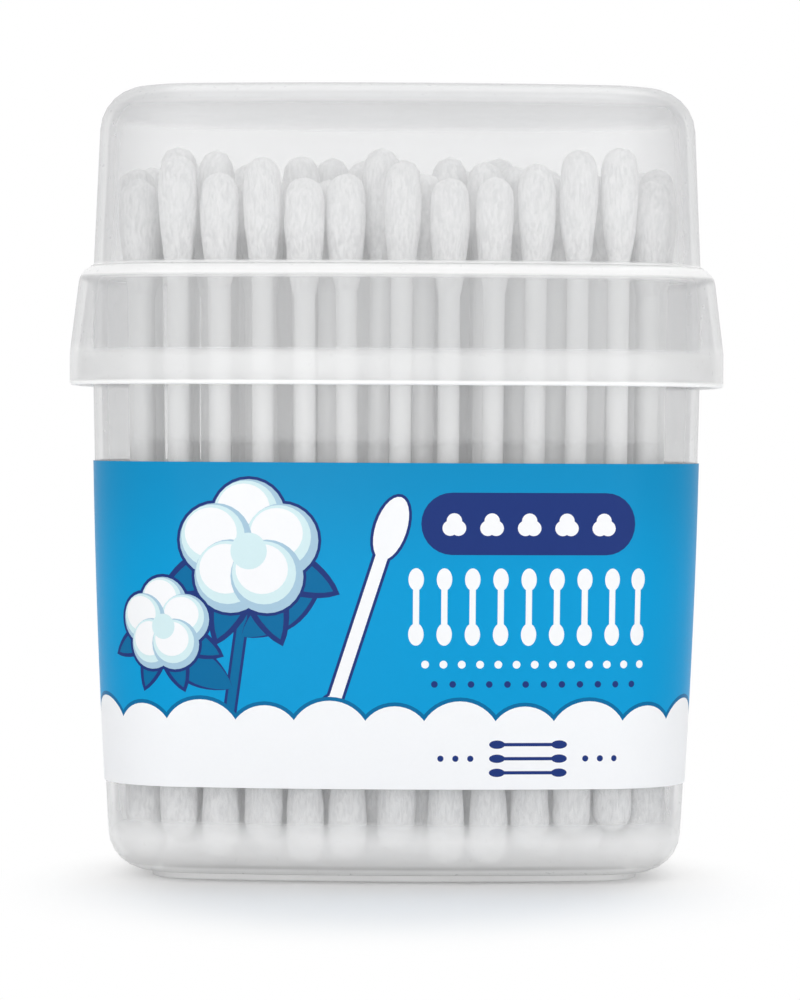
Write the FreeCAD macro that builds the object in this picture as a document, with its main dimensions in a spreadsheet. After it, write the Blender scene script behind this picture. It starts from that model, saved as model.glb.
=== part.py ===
"""Lidded plastic tub of cotton swabs, in millimetres.

A thin moulded tub, bowed on all four sides and narrower at its foot, holds a hundred swabs on end.
A printed film band is wrapped round it. A tall domed lid sits on the tub's rim and its flared skirt
reaches down over the tub's collar to a raised flange.
The origin is on the floor under the middle of the tub, +Z is up, and the front faces -Y.
Every wall follows one plan outline, the tub's collar, grown or shrunk by an offset.
"""

import FreeCAD, Part
import math
import os
import random

import Sketcher
from FreeCAD import Placement, Rotation, Vector

SIZES = [
    ("tub_width", 66.6, "collar, side to side"),
    ("tub_depth", 45.0, "collar, front to back"),
    ("corner_radius", 12.0, "plan corners of the collar"),
    ("front_bow", 140.0, "plan radius of the front and back"),
    ("side_bow", 120.0, "plan radius of the two sides"),
    ("tub_height", 65.2, "floor to rim"),
    ("tub_wall", 0.9, "tub wall and floor"),
    ("upper_slope", 0.022, "inset of the wall for each mm down, above the bend"),
    ("lower_slope", 0.053, "inset of the wall for each mm down, below the bend"),
    ("bend_height", 29.0, "height where the two slopes meet"),
    ("bend_radius", 900.0, "roundness of that meeting, outside"),
    ("base_round", 4.3, "outside round between wall and floor"),
    ("foot_height", 0.7, "foot ring, down from the floor"),
    ("foot_width", 1.2, "foot ring, across its tread"),
    ("foot_inset", 0.3, "foot ring, in from the end of the base round"),
    ("rim_round", 0.25, "edges of the rim"),
    ("collar_height", 8.7, "rim down to the flange"),
    ("flange_height", 2.4, "flange, top to bottom"),
    ("flange_clearance", 0.25, "flange to the lid's lip, each side"),
    ("flange_round", 0.4, "edges of the flange"),
    ("lid_wall", 0.9, "lid wall, top and skirt"),
    ("dome_slope", 0.044, "inset of the dome for each mm up"),
    ("dome_round", 4.8, "outside round at the top of the dome"),
    ("shoulder_reach", 1.4, "shoulder, out from the collar's outline"),
    ("shoulder_round", 1.9, "outside round of the shoulder"),
    ("shoulder_crease", 0.35, "inside round between dome and shoulder"),
    ("lip_reach", 2.55, "lip, out from the collar's outline"),
    ("lip_height", 3.6, "upright lip at the foot of the skirt"),
    ("lip_round", 0.3, "edges of the lip"),
    ("skirt_height", 12.0, "rim down to the bottom of the lip"),
    ("label_bottom", 10.4, "height of the band's lower edge"),
    ("label_top", 45.0, "height of the band's upper edge"),
    ("label_film", 0.12, "thickness of the band"),
    ("label_glue", 0.05, "glue between band and tub"),
    ("swab_length", 73.5, "swab, tip to tip"),
    ("stick_radius", 1.15, "stick"),
    ("tip_radius", 2.2, "cotton tip, at its thickest"),
    ("tip_length", 12.5, "cotton tip"),
    ("tip_neck", 1.5, "cotton tip, radius where it meets the stick"),
    ("tip_belly", 7.5, "cotton tip, from its neck to its thickest"),
    ("tip_cap", 1.6, "cotton beyond the end of the stick"),
    ("tip_fit", 0.02, "stick to the hole in the cotton"),
    ("swab_gap", 0.1, "least gap between two tips"),
    ("outer_room", 0.25, "room between tips along the outer ring"),
    ("inner_room", 1.0, "room between tips along the inner rings"),
    ("swab_to_wall", 0.5, "least gap between a tip and a wall"),
    ("swab_to_floor", 0.3, "least gap between a tip and the floor"),
    ("swab_lift", 3.7, "most that a wedged swab stands above the others"),
    ("swab_sway", 0.6, "typical lean of a swab, over its length"),
    ("swab_headroom", 5.5, "highest swab to the ceiling of the lid"),
]

doc = FreeCAD.newDocument("cotton_swab_tub")
sheet = doc.addObject("Spreadsheet::Sheet", "Sizes")
for line, (alias, value, note) in enumerate(SIZES, start=1):
    sheet.set(f"A{line}", note)
    sheet.set(f"B{line}", str(value))
    sheet.setAlias(f"B{line}", alias)
doc.recompute()


def size(expression):
    """The number that an expression of sheet cells, such as "Sizes.tub_wall * 2", gives."""
    return float(sheet.evalExpression(expression))


# Offsets from the collar's outline and heights that several pieces share
FLOOR_TOP = "(Sizes.foot_height + Sizes.tub_wall)"
FLANGE_TOP = "(Sizes.tub_height - Sizes.collar_height)"
FLANGE_FOOT = f"({FLANGE_TOP} - Sizes.flange_height)"
FLANGE_OUT = "(Sizes.lip_reach - Sizes.lid_wall - Sizes.flange_clearance)"
BEND_OUT = f"(-Sizes.upper_slope * ({FLANGE_FOOT} - Sizes.bend_height))"
BASE_OUT = f"({BEND_OUT} - Sizes.lower_slope * (Sizes.bend_height - Sizes.foot_height))"
FLOOR_OUT = f"({BEND_OUT} - Sizes.lower_slope * (Sizes.bend_height - {FLOOR_TOP}))"
FLOOR_EDGE = f"({BASE_OUT} - Sizes.base_round)"
FOOT_OUT = f"({FLOOR_EDGE} - Sizes.foot_inset)"
RECESS_OUT = f"({FOOT_OUT} - Sizes.foot_width)"
SWAB_FOOT = f"({FLOOR_TOP} + Sizes.swab_to_floor)"
SWAB_TOP = f"({SWAB_FOOT} + Sizes.swab_lift + Sizes.swab_length)"
CEILING = f"({SWAB_TOP} + Sizes.swab_headroom)"
LID_TOP = f"({CEILING} + Sizes.lid_wall)"
LEDGE_TOP = "(Sizes.tub_height + Sizes.lid_wall)"
LIP_FOOT = "(Sizes.tub_height - Sizes.skirt_height)"
DOME_OUT = f"(-Sizes.dome_slope * ({LID_TOP} - {LEDGE_TOP}))"
TOP_EDGE = f"({DOME_OUT} - Sizes.dome_round)"


def outward(offset):
    """Distance from the middle of the tub to a wall at an offset, measured to the side."""
    return f"Sizes.tub_width / 2 + {offset}"


def outline_numbers(offset):
    """Half width, half depth, corner radius, front radius and side radius at an offset in mm."""
    return (
        size("Sizes.tub_width / 2") + offset,
        size("Sizes.tub_depth / 2") + offset,
        size("Sizes.corner_radius") + offset,
        size("Sizes.front_bow") + offset,
        size("Sizes.side_bow") + offset,
    )


def corner_centre(half_width, half_depth, corner, front, side):
    """Centre of the corner arc that touches the side arc and the back arc, in the +X +Y corner."""
    side_x = half_width - side
    back_y = half_depth - front
    apart = math.hypot(side_x, back_y)
    to_side = side - corner
    to_back = front - corner
    along = (to_side**2 - to_back**2 + apart**2) / (2 * apart)
    across = math.sqrt(to_side**2 - along**2)
    unit = Vector(-side_x / apart, back_y / apart, 0)
    foot = Vector(side_x, 0, 0) + unit * along
    centre = foot + Vector(-unit.y, unit.x, 0) * across
    if centre.x < 0 or centre.y < 0:
        centre = foot - Vector(-unit.y, unit.x, 0) * across
    return centre


def new_sketch(body, name, plane):
    """A sketch of a body on one of its origin planes."""
    sketch = body.newObject("Sketcher::SketchObject", name)
    planes = [p for p in body.Origin.OriginFeatures if getattr(p, "Role", "") == plane]
    sketch.AttachmentSupport = [(planes[0], "")]
    sketch.MapMode = "FlatFace"
    return sketch


def bind(sketch, kind, *geometry, name, expression):
    """Adds a sized constraint, at its present value, and binds it to an expression."""
    index = sketch.addConstraint(Sketcher.Constraint(kind, *geometry, size(expression)))
    sketch.renameConstraint(index, name)
    sketch.setExpression(f"Constraints.{name}", expression)


def plan_sketch(body, name, offset, height="0"):
    """The collar's outline, grown outwards by an offset and lifted to a height."""
    sketch = new_sketch(body, name, "XY_Plane")
    half_width, half_depth, corner, front, side = outline_numbers(size(offset))
    centre = corner_centre(half_width, half_depth, corner, front, side)
    side_x = half_width - side
    back_y = half_depth - front
    at_side = math.atan2(centre.y, centre.x - side_x)
    at_back = math.atan2(centre.y - back_y, centre.x)
    turn = math.pi
    arcs = [
        (side_x, 0, side, 0, at_side),
        (centre.x, centre.y, corner, at_side, at_back),
        (0, back_y, front, at_back, turn - at_back),
        (-centre.x, centre.y, corner, turn - at_back, turn - at_side),
        (-side_x, 0, side, turn - at_side, turn + at_side),
        (-centre.x, -centre.y, corner, turn + at_side, turn + at_back),
        (0, -back_y, front, turn + at_back, 2 * turn - at_back),
        (centre.x, -centre.y, corner, 2 * turn - at_back, 2 * turn - at_side),
        (side_x, 0, side, 2 * turn - at_side, 2 * turn),
    ]
    for x, y, radius, start, end in arcs:
        circle = Part.Circle(Vector(x, y, 0), Vector(0, 0, 1), radius)
        sketch.addGeometry(Part.ArcOfCircle(circle, start, end), False)
    for index in range(len(arcs)):
        after = (index + 1) % len(arcs)
        sketch.addConstraint(Sketcher.Constraint("Tangent", index, 2, after, 1))
    right, back, left, front_arc, right_low = 0, 2, 4, 6, 8
    for index, axis in ((right, -1), (left, -1), (back, -2), (front_arc, -2)):
        sketch.addConstraint(Sketcher.Constraint("PointOnObject", index, 3, axis))
    sketch.addConstraint(Sketcher.Constraint("PointOnObject", right, 1, -1))
    for index in (left, right_low):
        sketch.addConstraint(Sketcher.Constraint("Equal", right, index))
    sketch.addConstraint(Sketcher.Constraint("Equal", back, front_arc))
    for index in (3, 5, 7):
        sketch.addConstraint(Sketcher.Constraint("Equal", 1, index))
    bind(sketch, "Radius", right, name="side_radius", expression=f"Sizes.side_bow + {offset}")
    bind(sketch, "Radius", back, name="front_radius", expression=f"Sizes.front_bow + {offset}")
    bind(sketch, "Radius", 1, name="corner", expression=f"Sizes.corner_radius + {offset}")
    bind(sketch, "DistanceX", -1, 1, right, 1, name="half_width", expression=outward(offset))
    from_left = "Sizes.side_bow - Sizes.tub_width / 2"
    from_front = "Sizes.front_bow - Sizes.tub_depth / 2"
    bind(sketch, "DistanceX", -1, 1, left, 3, name="left_centre", expression=from_left)
    bind(sketch, "DistanceY", -1, 1, front_arc, 3, name="front_centre", expression=from_front)
    bind(sketch, "DistanceY", back, 3, -1, 1, name="back_centre", expression=from_front)
    sketch.setExpression("AttachmentOffset.Base.z", height)
    return sketch


def section_sketch(body, name, corners):
    """A closed profile on the XZ plane. Each corner is (x, z, round), as expressions, and a
    round of None leaves it sharp. A corner keeps its place when it is rounded."""
    sketch = new_sketch(body, name, "XZ_Plane")
    points = [Vector(size(x), size(z), 0) for x, z, _ in corners]
    starts, ends, arcs = [], [], []
    for index, (point, (_, _, rounding)) in enumerate(zip(points, corners)):
        to_last = (points[index - 1] - point).normalize()
        to_next = (points[(index + 1) % len(points)] - point).normalize()
        if rounding is None:
            ends.append(point)
            starts.append(point)
            arcs.append(None)
            continue
        radius = size(rounding)
        half = to_last.getAngle(to_next) / 2
        back_off = radius / math.tan(half)
        middle = point + (to_last + to_next).normalize() * (radius / math.sin(half))
        ends.append(point + to_last * back_off)
        starts.append(point + to_next * back_off)
        left_turn = to_last.cross(to_next).z < 0
        first, last = (ends[-1], starts[-1]) if left_turn else (starts[-1], ends[-1])
        from_angle = math.atan2(first.y - middle.y, first.x - middle.x)
        to_angle = math.atan2(last.y - middle.y, last.x - middle.x)
        if to_angle < from_angle:
            to_angle += 2 * math.pi
        circle = Part.Circle(middle, Vector(0, 0, 1), radius)
        arcs.append((Part.ArcOfCircle(circle, from_angle, to_angle), left_turn))
    lines = []
    for index in range(len(points)):
        end = ends[(index + 1) % len(points)]
        lines.append(sketch.addGeometry(Part.LineSegment(starts[index], end), False))
    for index, (x, z, rounding) in enumerate(corners):
        before, after = lines[index - 1], lines[index]
        if rounding is None:
            sketch.addConstraint(Sketcher.Constraint("Coincident", before, 2, after, 1))
            mark, end = after, 1
        else:
            arc, left_turn = arcs[index]
            bow = sketch.addGeometry(arc, False)
            near, far = (1, 2) if left_turn else (2, 1)
            sketch.addConstraint(Sketcher.Constraint("Tangent", before, 2, bow, near))
            sketch.addConstraint(Sketcher.Constraint("Tangent", bow, far, after, 1))
            bind(sketch, "Radius", bow, name=f"round_{index}", expression=rounding)
            mark, end = sketch.addGeometry(Part.Point(points[index]), True), 1
            sketch.addConstraint(Sketcher.Constraint("PointOnObject", mark, end, before))
            sketch.addConstraint(Sketcher.Constraint("PointOnObject", mark, end, after))
        for kind, letter, axis, where in (("DistanceX", "x", -2, x), ("DistanceY", "z", -1, z)):
            if where == "0":
                sketch.addConstraint(Sketcher.Constraint("PointOnObject", mark, end, axis))
            else:
                bind(sketch, kind, -1, 1, mark, end, name=f"{letter}_{index}", expression=where)
    return sketch


def new_body(label):
    """A body whose label names its file."""
    body = doc.addObject("PartDesign::Body", label)
    body.Label = label
    return body


def sweep_round(body, name, corners):
    """Sweeps a section once round the collar's outline."""
    path = plan_sketch(body, f"{name}_path", "0")
    section = section_sketch(body, f"{name}_section", corners)
    sweep = body.newObject("PartDesign::AdditivePipe", f"{name}_sweep")
    sweep.Profile = section
    sweep.Spine = (path, [""])
    sweep.Mode = "Frenet"
    doc.recompute()
    return sweep


def plate(body, name, offset, foot, thickness):
    """Fills the outline at an offset with a flat plate."""
    pad = body.newObject("PartDesign::Pad", name)
    pad.Profile = plan_sketch(body, f"{name}_outline", offset, foot)
    pad.setExpression("Length", thickness)
    doc.recompute()
    return pad


def make_tub():
    """The tub: collar, flange, bent wall, rounded base, foot ring and floor."""
    body = new_body("tub")
    inner = "-Sizes.tub_wall"
    sweep_round(
        body,
        "tub_wall",
        [
            (outward("0"), "Sizes.tub_height", "Sizes.rim_round"),
            (outward(inner), "Sizes.tub_height", "Sizes.rim_round"),
            (outward(inner), FLANGE_FOOT, None),
            (outward(f"{BEND_OUT} {inner}"), "Sizes.bend_height", "Sizes.bend_radius - Sizes.tub_wall"),
            (outward(f"{FLOOR_OUT} {inner}"), FLOOR_TOP, "Sizes.base_round - Sizes.tub_wall"),
            (outward(FLOOR_EDGE), FLOOR_TOP, None),
            (outward(FLOOR_EDGE), "Sizes.foot_height", None),
            (outward(BASE_OUT), "Sizes.foot_height", "Sizes.base_round"),
            (outward(BEND_OUT), "Sizes.bend_height", "Sizes.bend_radius"),
            (outward("0"), FLANGE_FOOT, None),
            (outward(FLANGE_OUT), FLANGE_FOOT, "Sizes.flange_round"),
            (outward(FLANGE_OUT), FLANGE_TOP, "Sizes.flange_round"),
            (outward("0"), FLANGE_TOP, None),
        ],
    )
    plate(body, "tub_floor", FLOOR_EDGE, "Sizes.foot_height", "Sizes.tub_wall")
    plate(body, "foot_ring", FOOT_OUT, "0", "Sizes.foot_height")
    recess = body.newObject("PartDesign::Pocket", "foot_recess")
    recess.Profile = plan_sketch(body, "foot_recess_outline", RECESS_OUT)
    recess.Reversed = True
    recess.setExpression("Length", "Sizes.foot_height")
    doc.recompute()
    return body


def make_lid():
    """The lid: flat top, tapered dome, ledge that sits on the rim, and flared skirt with its lip."""
    body = new_body("lid")
    inner = "-Sizes.lid_wall"
    sweep_round(
        body,
        "lid_wall",
        [
            (outward(TOP_EDGE), LID_TOP, None),
            (outward(TOP_EDGE), CEILING, None),
            (outward(f"{DOME_OUT} {inner}"), CEILING, "Sizes.dome_round - Sizes.lid_wall"),
            (outward(inner), "Sizes.tub_height", None),
            (outward(f"Sizes.shoulder_reach {inner}"), "Sizes.tub_height", None),
            (outward(f"Sizes.lip_reach {inner}"), f"{LIP_FOOT} + Sizes.lip_height", None),
            (outward(f"Sizes.lip_reach {inner}"), LIP_FOOT, "Sizes.lip_round"),
            (outward("Sizes.lip_reach"), LIP_FOOT, "Sizes.lip_round"),
            (outward("Sizes.lip_reach"), f"{LIP_FOOT} + Sizes.lip_height", None),
            (outward("Sizes.shoulder_reach"), LEDGE_TOP, "Sizes.shoulder_round"),
            (outward("0"), LEDGE_TOP, "Sizes.shoulder_crease"),
            (outward(DOME_OUT), LID_TOP, "Sizes.dome_round"),
        ],
    )
    plate(body, "lid_top", TOP_EDGE, CEILING, "Sizes.lid_wall")
    return body


def make_label():
    """The printed film band, wrapped round the tub's bent wall."""
    body = new_body("label")
    glue = "+ Sizes.label_glue"
    film = "+ Sizes.label_glue + Sizes.label_film"
    top = f"(-Sizes.upper_slope * ({FLANGE_FOOT} - Sizes.label_top))"
    foot = f"({BEND_OUT} - Sizes.lower_slope * (Sizes.bend_height - Sizes.label_bottom))"
    sweep_round(
        body,
        "label",
        [
            (outward(f"{top} {film}"), "Sizes.label_top", None),
            (outward(f"{top} {glue}"), "Sizes.label_top", None),
            (outward(f"{BEND_OUT} {glue}"), "Sizes.bend_height", f"Sizes.bend_radius {glue}"),
            (outward(f"{foot} {glue}"), "Sizes.label_bottom", None),
            (outward(f"{foot} {film}"), "Sizes.label_bottom", None),
            (outward(f"{BEND_OUT} {film}"), "Sizes.bend_height", f"Sizes.bend_radius {film}"),
        ],
    )
    return body


def make_tip():
    """One cotton tip, neck at the origin and free end up, with the blind hole for its stick."""
    body = new_body("cotton_tip")
    hole = "Sizes.stick_radius + Sizes.tip_fit"
    hole_end = "Sizes.tip_length - Sizes.tip_cap"
    section = section_sketch(
        body,
        "tip_section",
        [
            (hole, "0", None),
            ("Sizes.tip_neck", "0", None),
            ("Sizes.tip_radius", "Sizes.tip_belly", "Sizes.tip_belly * 2"),
            ("Sizes.tip_radius", "Sizes.tip_length", "Sizes.tip_radius * 0.9"),
            ("0", "Sizes.tip_length", None),
            ("0", hole_end, None),
            (hole, hole_end, None),
        ],
    )
    turned = body.newObject("PartDesign::Revolution", "tip_turned")
    turned.Profile = section
    turned.ReferenceAxis = (section, ["V_Axis"])
    turned.Angle = 360
    doc.recompute()
    return body


def make_stick():
    """One stick, standing on the origin. It stops short of both ends of the swab."""
    stick = doc.addObject("Part::Cylinder", "stick")
    stick.setExpression("Radius", "Sizes.stick_radius")
    stick.setExpression("Height", "Sizes.swab_length - 2 * Sizes.tip_cap")
    doc.recompute()
    return stick


def push_inside(x, y, offset):
    """Moves a point to the nearest place inside the outline at an offset in mm."""
    half_width, half_depth, corner, front, side = outline_numbers(offset)
    centre = corner_centre(half_width, half_depth, corner, front, side)
    sign_x, sign_y = math.copysign(1, x), math.copysign(1, y)
    point = Vector(abs(x), abs(y), 0)
    for middle, radius in (
        (Vector(half_width - side, 0, 0), side),
        (Vector(0, half_depth - front, 0), front),
    ):
        reach = point - middle
        if reach.Length > radius:
            point = middle + reach * (radius / reach.Length)
    reach = point - centre
    if point.x > centre.x and point.y > centre.y and reach.Length > corner:
        point = centre + reach * (corner / reach.Length)
    return point.x * sign_x, point.y * sign_y


def spread(points, offset, apart, rounds):
    """Pushes points apart until they lie that far from each other, all inside the outline."""
    for _ in range(rounds):
        worst = apart
        for i, (ax, ay) in enumerate(points):
            for j in range(i):
                bx, by = points[j]
                dx, dy = ax - bx, ay - by
                if abs(dx) >= apart or abs(dy) >= apart:
                    continue
                gap = math.hypot(dx, dy)
                if gap >= apart:
                    continue
                worst = min(worst, gap)
                shove = (apart - gap) / 2 / max(gap, 1e-6)
                ax, ay = ax + dx * shove, ay + dy * shove
                points[j] = (bx - dx * shove, by - dy * shove)
            points[i] = (ax, ay)
        points = [push_inside(x, y, offset) for x, y in points]
        if worst > apart - 1e-3:
            break
    return points


def ring_places(collar, offset, apart):
    """Places on nested rings inside the outline: close on the outer ring, looser further in."""
    half_width, half_depth = outline_numbers(offset)[:2]
    outline = collar.makeOffset2D(offset).discretize(Number=721)
    tip_width = size("2 * Sizes.tip_radius")
    pitch = apart * math.sqrt(3) / 2
    places = []
    for number in range(int(half_depth / pitch) + 1):
        narrow = 1 - number * pitch / half_width
        shallow = 1 - number * pitch / half_depth
        ring = [Vector(p.x * narrow, p.y * shallow, 0) for p in outline]
        length = sum((b - a).Length for a, b in zip(ring, ring[1:]))
        room = size("Sizes.inner_room" if number else "Sizes.outer_room")
        step = length / max(1, int(length / (tip_width + room)))
        walked, target = 0.0, step / 2
        for a, b in zip(ring, ring[1:]):
            stretch = (b - a).Length
            while target <= walked + stretch and target < length:
                spot = a + (b - a) * ((target - walked) / stretch)
                places.append((number + 1, (spot.x, spot.y)))
                target += step
            walked += stretch
    return places


def stand_swabs(collar):
    """Where each swab stands: its ring, the low end of its axis and the axis's direction."""
    rng = random.Random(11)
    reach = size("Sizes.tip_radius + Sizes.swab_to_wall")
    low_offset = size(f"{FLOOR_OUT} - Sizes.tub_wall") - reach
    high_offset = size(f"{DOME_OUT} - Sizes.lid_wall") - reach
    apart = size("2 * Sizes.tip_radius + Sizes.swab_gap")
    places = ring_places(collar, low_offset, apart)
    sway = size("Sizes.swab_sway")
    low = [(x + rng.gauss(0, sway), y + rng.gauss(0, sway)) for _, (x, y) in places]
    low = spread([push_inside(x, y, low_offset) for x, y in low], low_offset, apart, 4000)
    widen = high_offset - low_offset
    half_width, half_depth = outline_numbers(low_offset)[:2]
    high = []
    for x, y in low:
        wider, deeper = 1 + widen / half_width, 1 + widen / half_depth
        high.append((x * wider + rng.gauss(0, sway), y * deeper + rng.gauss(0, sway)))
    high = spread([push_inside(x, y, high_offset) for x, y in high], high_offset, apart, 4000)
    lowest = size(SWAB_FOOT)
    length = size("Sizes.swab_length")
    swabs = []
    for (ring, _), (x, y), (high_x, high_y) in zip(places, low, high):
        up = Vector(high_x - x, high_y - y, length).normalize()
        lift = size("Sizes.swab_lift") * rng.random() ** 2.2
        swabs.append((ring, Vector(x, y, lowest) + up * lift, up))
    return swabs


def place(shape, origin, direction):
    """A copy of a shape with its origin moved and its Z axis turned to a direction."""
    copy = shape.copy()
    copy.Placement = Placement(origin, Rotation(Vector(0, 0, 1), direction))
    return copy


def make_swab_rings(stick, tip, collar):
    """The swabs, a ring to a node: sticks, top tips and bottom tips are separate solids."""
    length = size("Sizes.swab_length")
    cap = size("Sizes.tip_cap")
    cotton = size("Sizes.tip_length")
    rings = {}
    for ring, foot, up in stand_swabs(collar):
        kinds = rings.setdefault(ring, {"sticks": [], "top_tips": [], "bottom_tips": []})
        kinds["sticks"].append(place(stick.Shape, foot + up * cap, up))
        kinds["top_tips"].append(place(tip.Shape, foot + up * (length - cotton), up))
        kinds["bottom_tips"].append(place(tip.Shape, foot + up * cotton, -up))
    nodes = []
    for ring, kinds in rings.items():
        for kind, solids in kinds.items():
            node = doc.addObject("Part::Feature", f"ring_{ring}_{kind}")
            node.Label = f"ring_{ring}_{kind}"
            node.Shape = Part.makeCompound(solids)
            node.Placement = Placement()
            nodes.append(node)
    return nodes


tub = make_tub()
lid = make_lid()
label = make_label()
collar_outline = doc.getObject("tub_wall_path").Shape.Wires[0]
swab_rings = make_swab_rings(make_stick(), make_tip(), collar_outline)
pieces = [tub, lid, label] + swab_rings
doc.recompute()

for item in doc.Objects:
    if "Invalid" in item.State or "Error" in item.State:
        raise RuntimeError(f"{item.Label} failed: {item.State}")
for piece in pieces:
    if piece.Shape.isNull() or not piece.Shape.isValid() or not piece.Shape.Solids:
        raise RuntimeError(f"{piece.Label} has no valid solid")

os.makedirs("parts", exist_ok=True)
for piece in pieces:
    piece.Shape.exportStep(f"parts/{piece.Label}.step")
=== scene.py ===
"""Looks for a lidded tub of cotton swabs.

Lengths are in millimetres up to the point where a mesh is made, and in metres from there on. The
front of the tub faces -Y and +Z is up. The tub, the lid and the film band all follow one plan
outline, the tub's collar, moved in or out by an offset.
"""

import logging
import math
from dataclasses import dataclass, field
from enum import Enum
from typing import Iterable, Sequence

import bmesh
import bpy
import numpy as np
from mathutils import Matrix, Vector
from mathutils.geometry import delaunay_2d_cdt


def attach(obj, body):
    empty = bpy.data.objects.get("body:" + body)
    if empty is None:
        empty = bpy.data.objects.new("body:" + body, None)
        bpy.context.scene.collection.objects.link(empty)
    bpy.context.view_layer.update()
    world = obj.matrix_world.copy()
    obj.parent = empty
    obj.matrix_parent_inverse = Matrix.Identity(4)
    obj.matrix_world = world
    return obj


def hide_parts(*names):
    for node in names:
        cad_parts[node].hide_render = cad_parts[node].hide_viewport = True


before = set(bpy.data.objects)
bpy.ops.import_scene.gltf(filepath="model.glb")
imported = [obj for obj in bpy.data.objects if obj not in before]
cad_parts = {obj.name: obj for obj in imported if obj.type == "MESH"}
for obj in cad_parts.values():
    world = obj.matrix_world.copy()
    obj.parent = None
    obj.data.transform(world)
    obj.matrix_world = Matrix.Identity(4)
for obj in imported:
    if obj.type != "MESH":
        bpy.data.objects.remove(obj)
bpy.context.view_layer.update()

MM = 0.001
HAIR = 1e-6  # millimetres that make no difference
LOG = logging.getLogger("swab_tub")

Color = tuple[float, float, float]
Points = tuple[tuple[float, float], ...]


def srgb(red: int, green: int, blue: int) -> Color:
    """Turns a display colour into the linear values that a shader takes.

    Args:
        red: Red, 0 to 255.
        green: Green, 0 to 255.
        blue: Blue, 0 to 255.

    Returns:
        The same colour as linear red, green and blue.
    """
    parts = []
    for value in (red, green, blue):
        share = value / 255
        parts.append(share / 12.92 if share <= 0.04045 else ((share + 0.055) / 1.055) ** 2.4)
    return parts[0], parts[1], parts[2]


class Slot(Enum):
    """The record's material slots."""

    TUB = "frosted_tub"
    LID = "frosted_lid"
    FILM = "printed_film"
    STICK = "stick"
    COTTON = "cotton"


class Ink(Enum):
    """The film's printed colours, as display values."""

    SKY = (6, 155, 213)
    WHITE = (247, 248, 250)
    NAVY = (34, 56, 122)
    DEEP = (5, 108, 160)
    MIST = (168, 200, 220)
    FROST = (212, 236, 240)


class Wiring:
    """Short calls for making and linking the nodes of one tree."""

    def __init__(self, tree: bpy.types.NodeTree) -> None:
        """Keeps the tree that the nodes go into."""
        self.tree = tree

    def add(self, kind: str, settings: dict | None = None, **inputs: object) -> bpy.types.Node:
        """Makes a node and fills its inputs.

        Args:
            kind: The node's type name.
            settings: Properties of the node to set before its inputs.
            **inputs: Input name, with _ for a space, to a value or to an output socket.

        Returns:
            The new node.
        """
        node = self.tree.nodes.new(kind)
        for name, value in (settings or {}).items():
            setattr(node, name, value)
        for name, value in inputs.items():
            self.feed(self.find(node, name.replace("_", " ")), value)
        return node

    def find(self, node: bpy.types.Node, name: str) -> bpy.types.NodeSocket:
        """The enabled input of a node with that name, whatever its capitals."""
        wanted = name.lower()
        return next(s for s in node.inputs if s.name.lower() == wanted and s.enabled)

    def feed(self, socket: bpy.types.NodeSocket, value: object) -> None:
        """Links an output into a socket, or sets the socket's own value.

        Args:
            socket: The input to fill.
            value: An output to link, or a plain value. A colour may leave out its alpha.
        """
        if isinstance(value, bpy.types.NodeSocket):
            self.tree.links.new(value, socket)
        elif isinstance(value, tuple) and socket.type == "RGBA" and len(value) == 3:
            socket.default_value = (*value, 1.0)
        else:
            socket.default_value = value

    def math(self, operation: str, first: object, second: object = 0.0) -> bpy.types.NodeSocket:
        """Adds a Math node, in a shader or a geometry tree.

        Args:
            operation: What the node does.
            first: Its first number, or an output that gives it.
            second: Its second number, or an output that gives it.

        Returns:
            The result.
        """
        node = self.tree.nodes.new("ShaderNodeMath")
        node.operation = operation
        self.feed(node.inputs[0], first)
        self.feed(node.inputs[1], second)
        return node.outputs[0]

    def blend(self, factor: object, first: object, second: object) -> bpy.types.NodeSocket:
        """Mixes two colours.

        Args:
            factor: The share of the second colour.
            first: The colour at nought.
            second: The colour at one.

        Returns:
            The mixed colour.
        """
        node = self.add("ShaderNodeMix", {"data_type": "RGBA"}, Factor=factor, A=first, B=second)
        return next(s for s in node.outputs if s.enabled)

    def ramp(
        self, value: object, start: float, end: float, low: float = 0.0, high: float = 1.0
    ) -> bpy.types.NodeSocket:
        """Maps a number softly from one range to another.

        Args:
            value: An output that gives the number.
            start: Where the result is low.
            end: Where the result is high.
            low: The result up to the start.
            high: The result past the end.

        Returns:
            The mapped number.
        """
        soft = {"interpolation_type": "SMOOTHSTEP"}
        reach = {"From_Min": start, "From_Max": end, "To_Min": low, "To_Max": high}
        return self.add("ShaderNodeMapRange", soft, Value=value, **reach).outputs[0]

    def place(self) -> bpy.types.NodeSocket:
        """The object's own coordinates, in metres."""
        return self.add("ShaderNodeTexCoord").outputs["Object"]

    def level(self) -> bpy.types.NodeSocket:
        """The height in the object's own coordinates, in metres."""
        return self.add("ShaderNodeSeparateXYZ", Vector=self.place()).outputs["Z"]

    def group(self, tree: bpy.types.NodeTree, **inputs: object) -> bpy.types.Node:
        """Puts a node group into the tree with its own values."""
        return self.add("ShaderNodeGroup", {"node_tree": tree}, **inputs)


TreeParts = tuple[bpy.types.NodeTree, Wiring, bpy.types.Node, bpy.types.Node]


def linked(name: str, data: bpy.types.ID) -> bpy.types.Object:
    """Makes an object.

    Args:
        name: The object's name.
        data: Its mesh, lamp or camera.

    Returns:
        The object, linked to the scene.
    """
    made = bpy.data.objects.new(name, data)
    bpy.context.scene.collection.objects.link(made)
    return made


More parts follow.
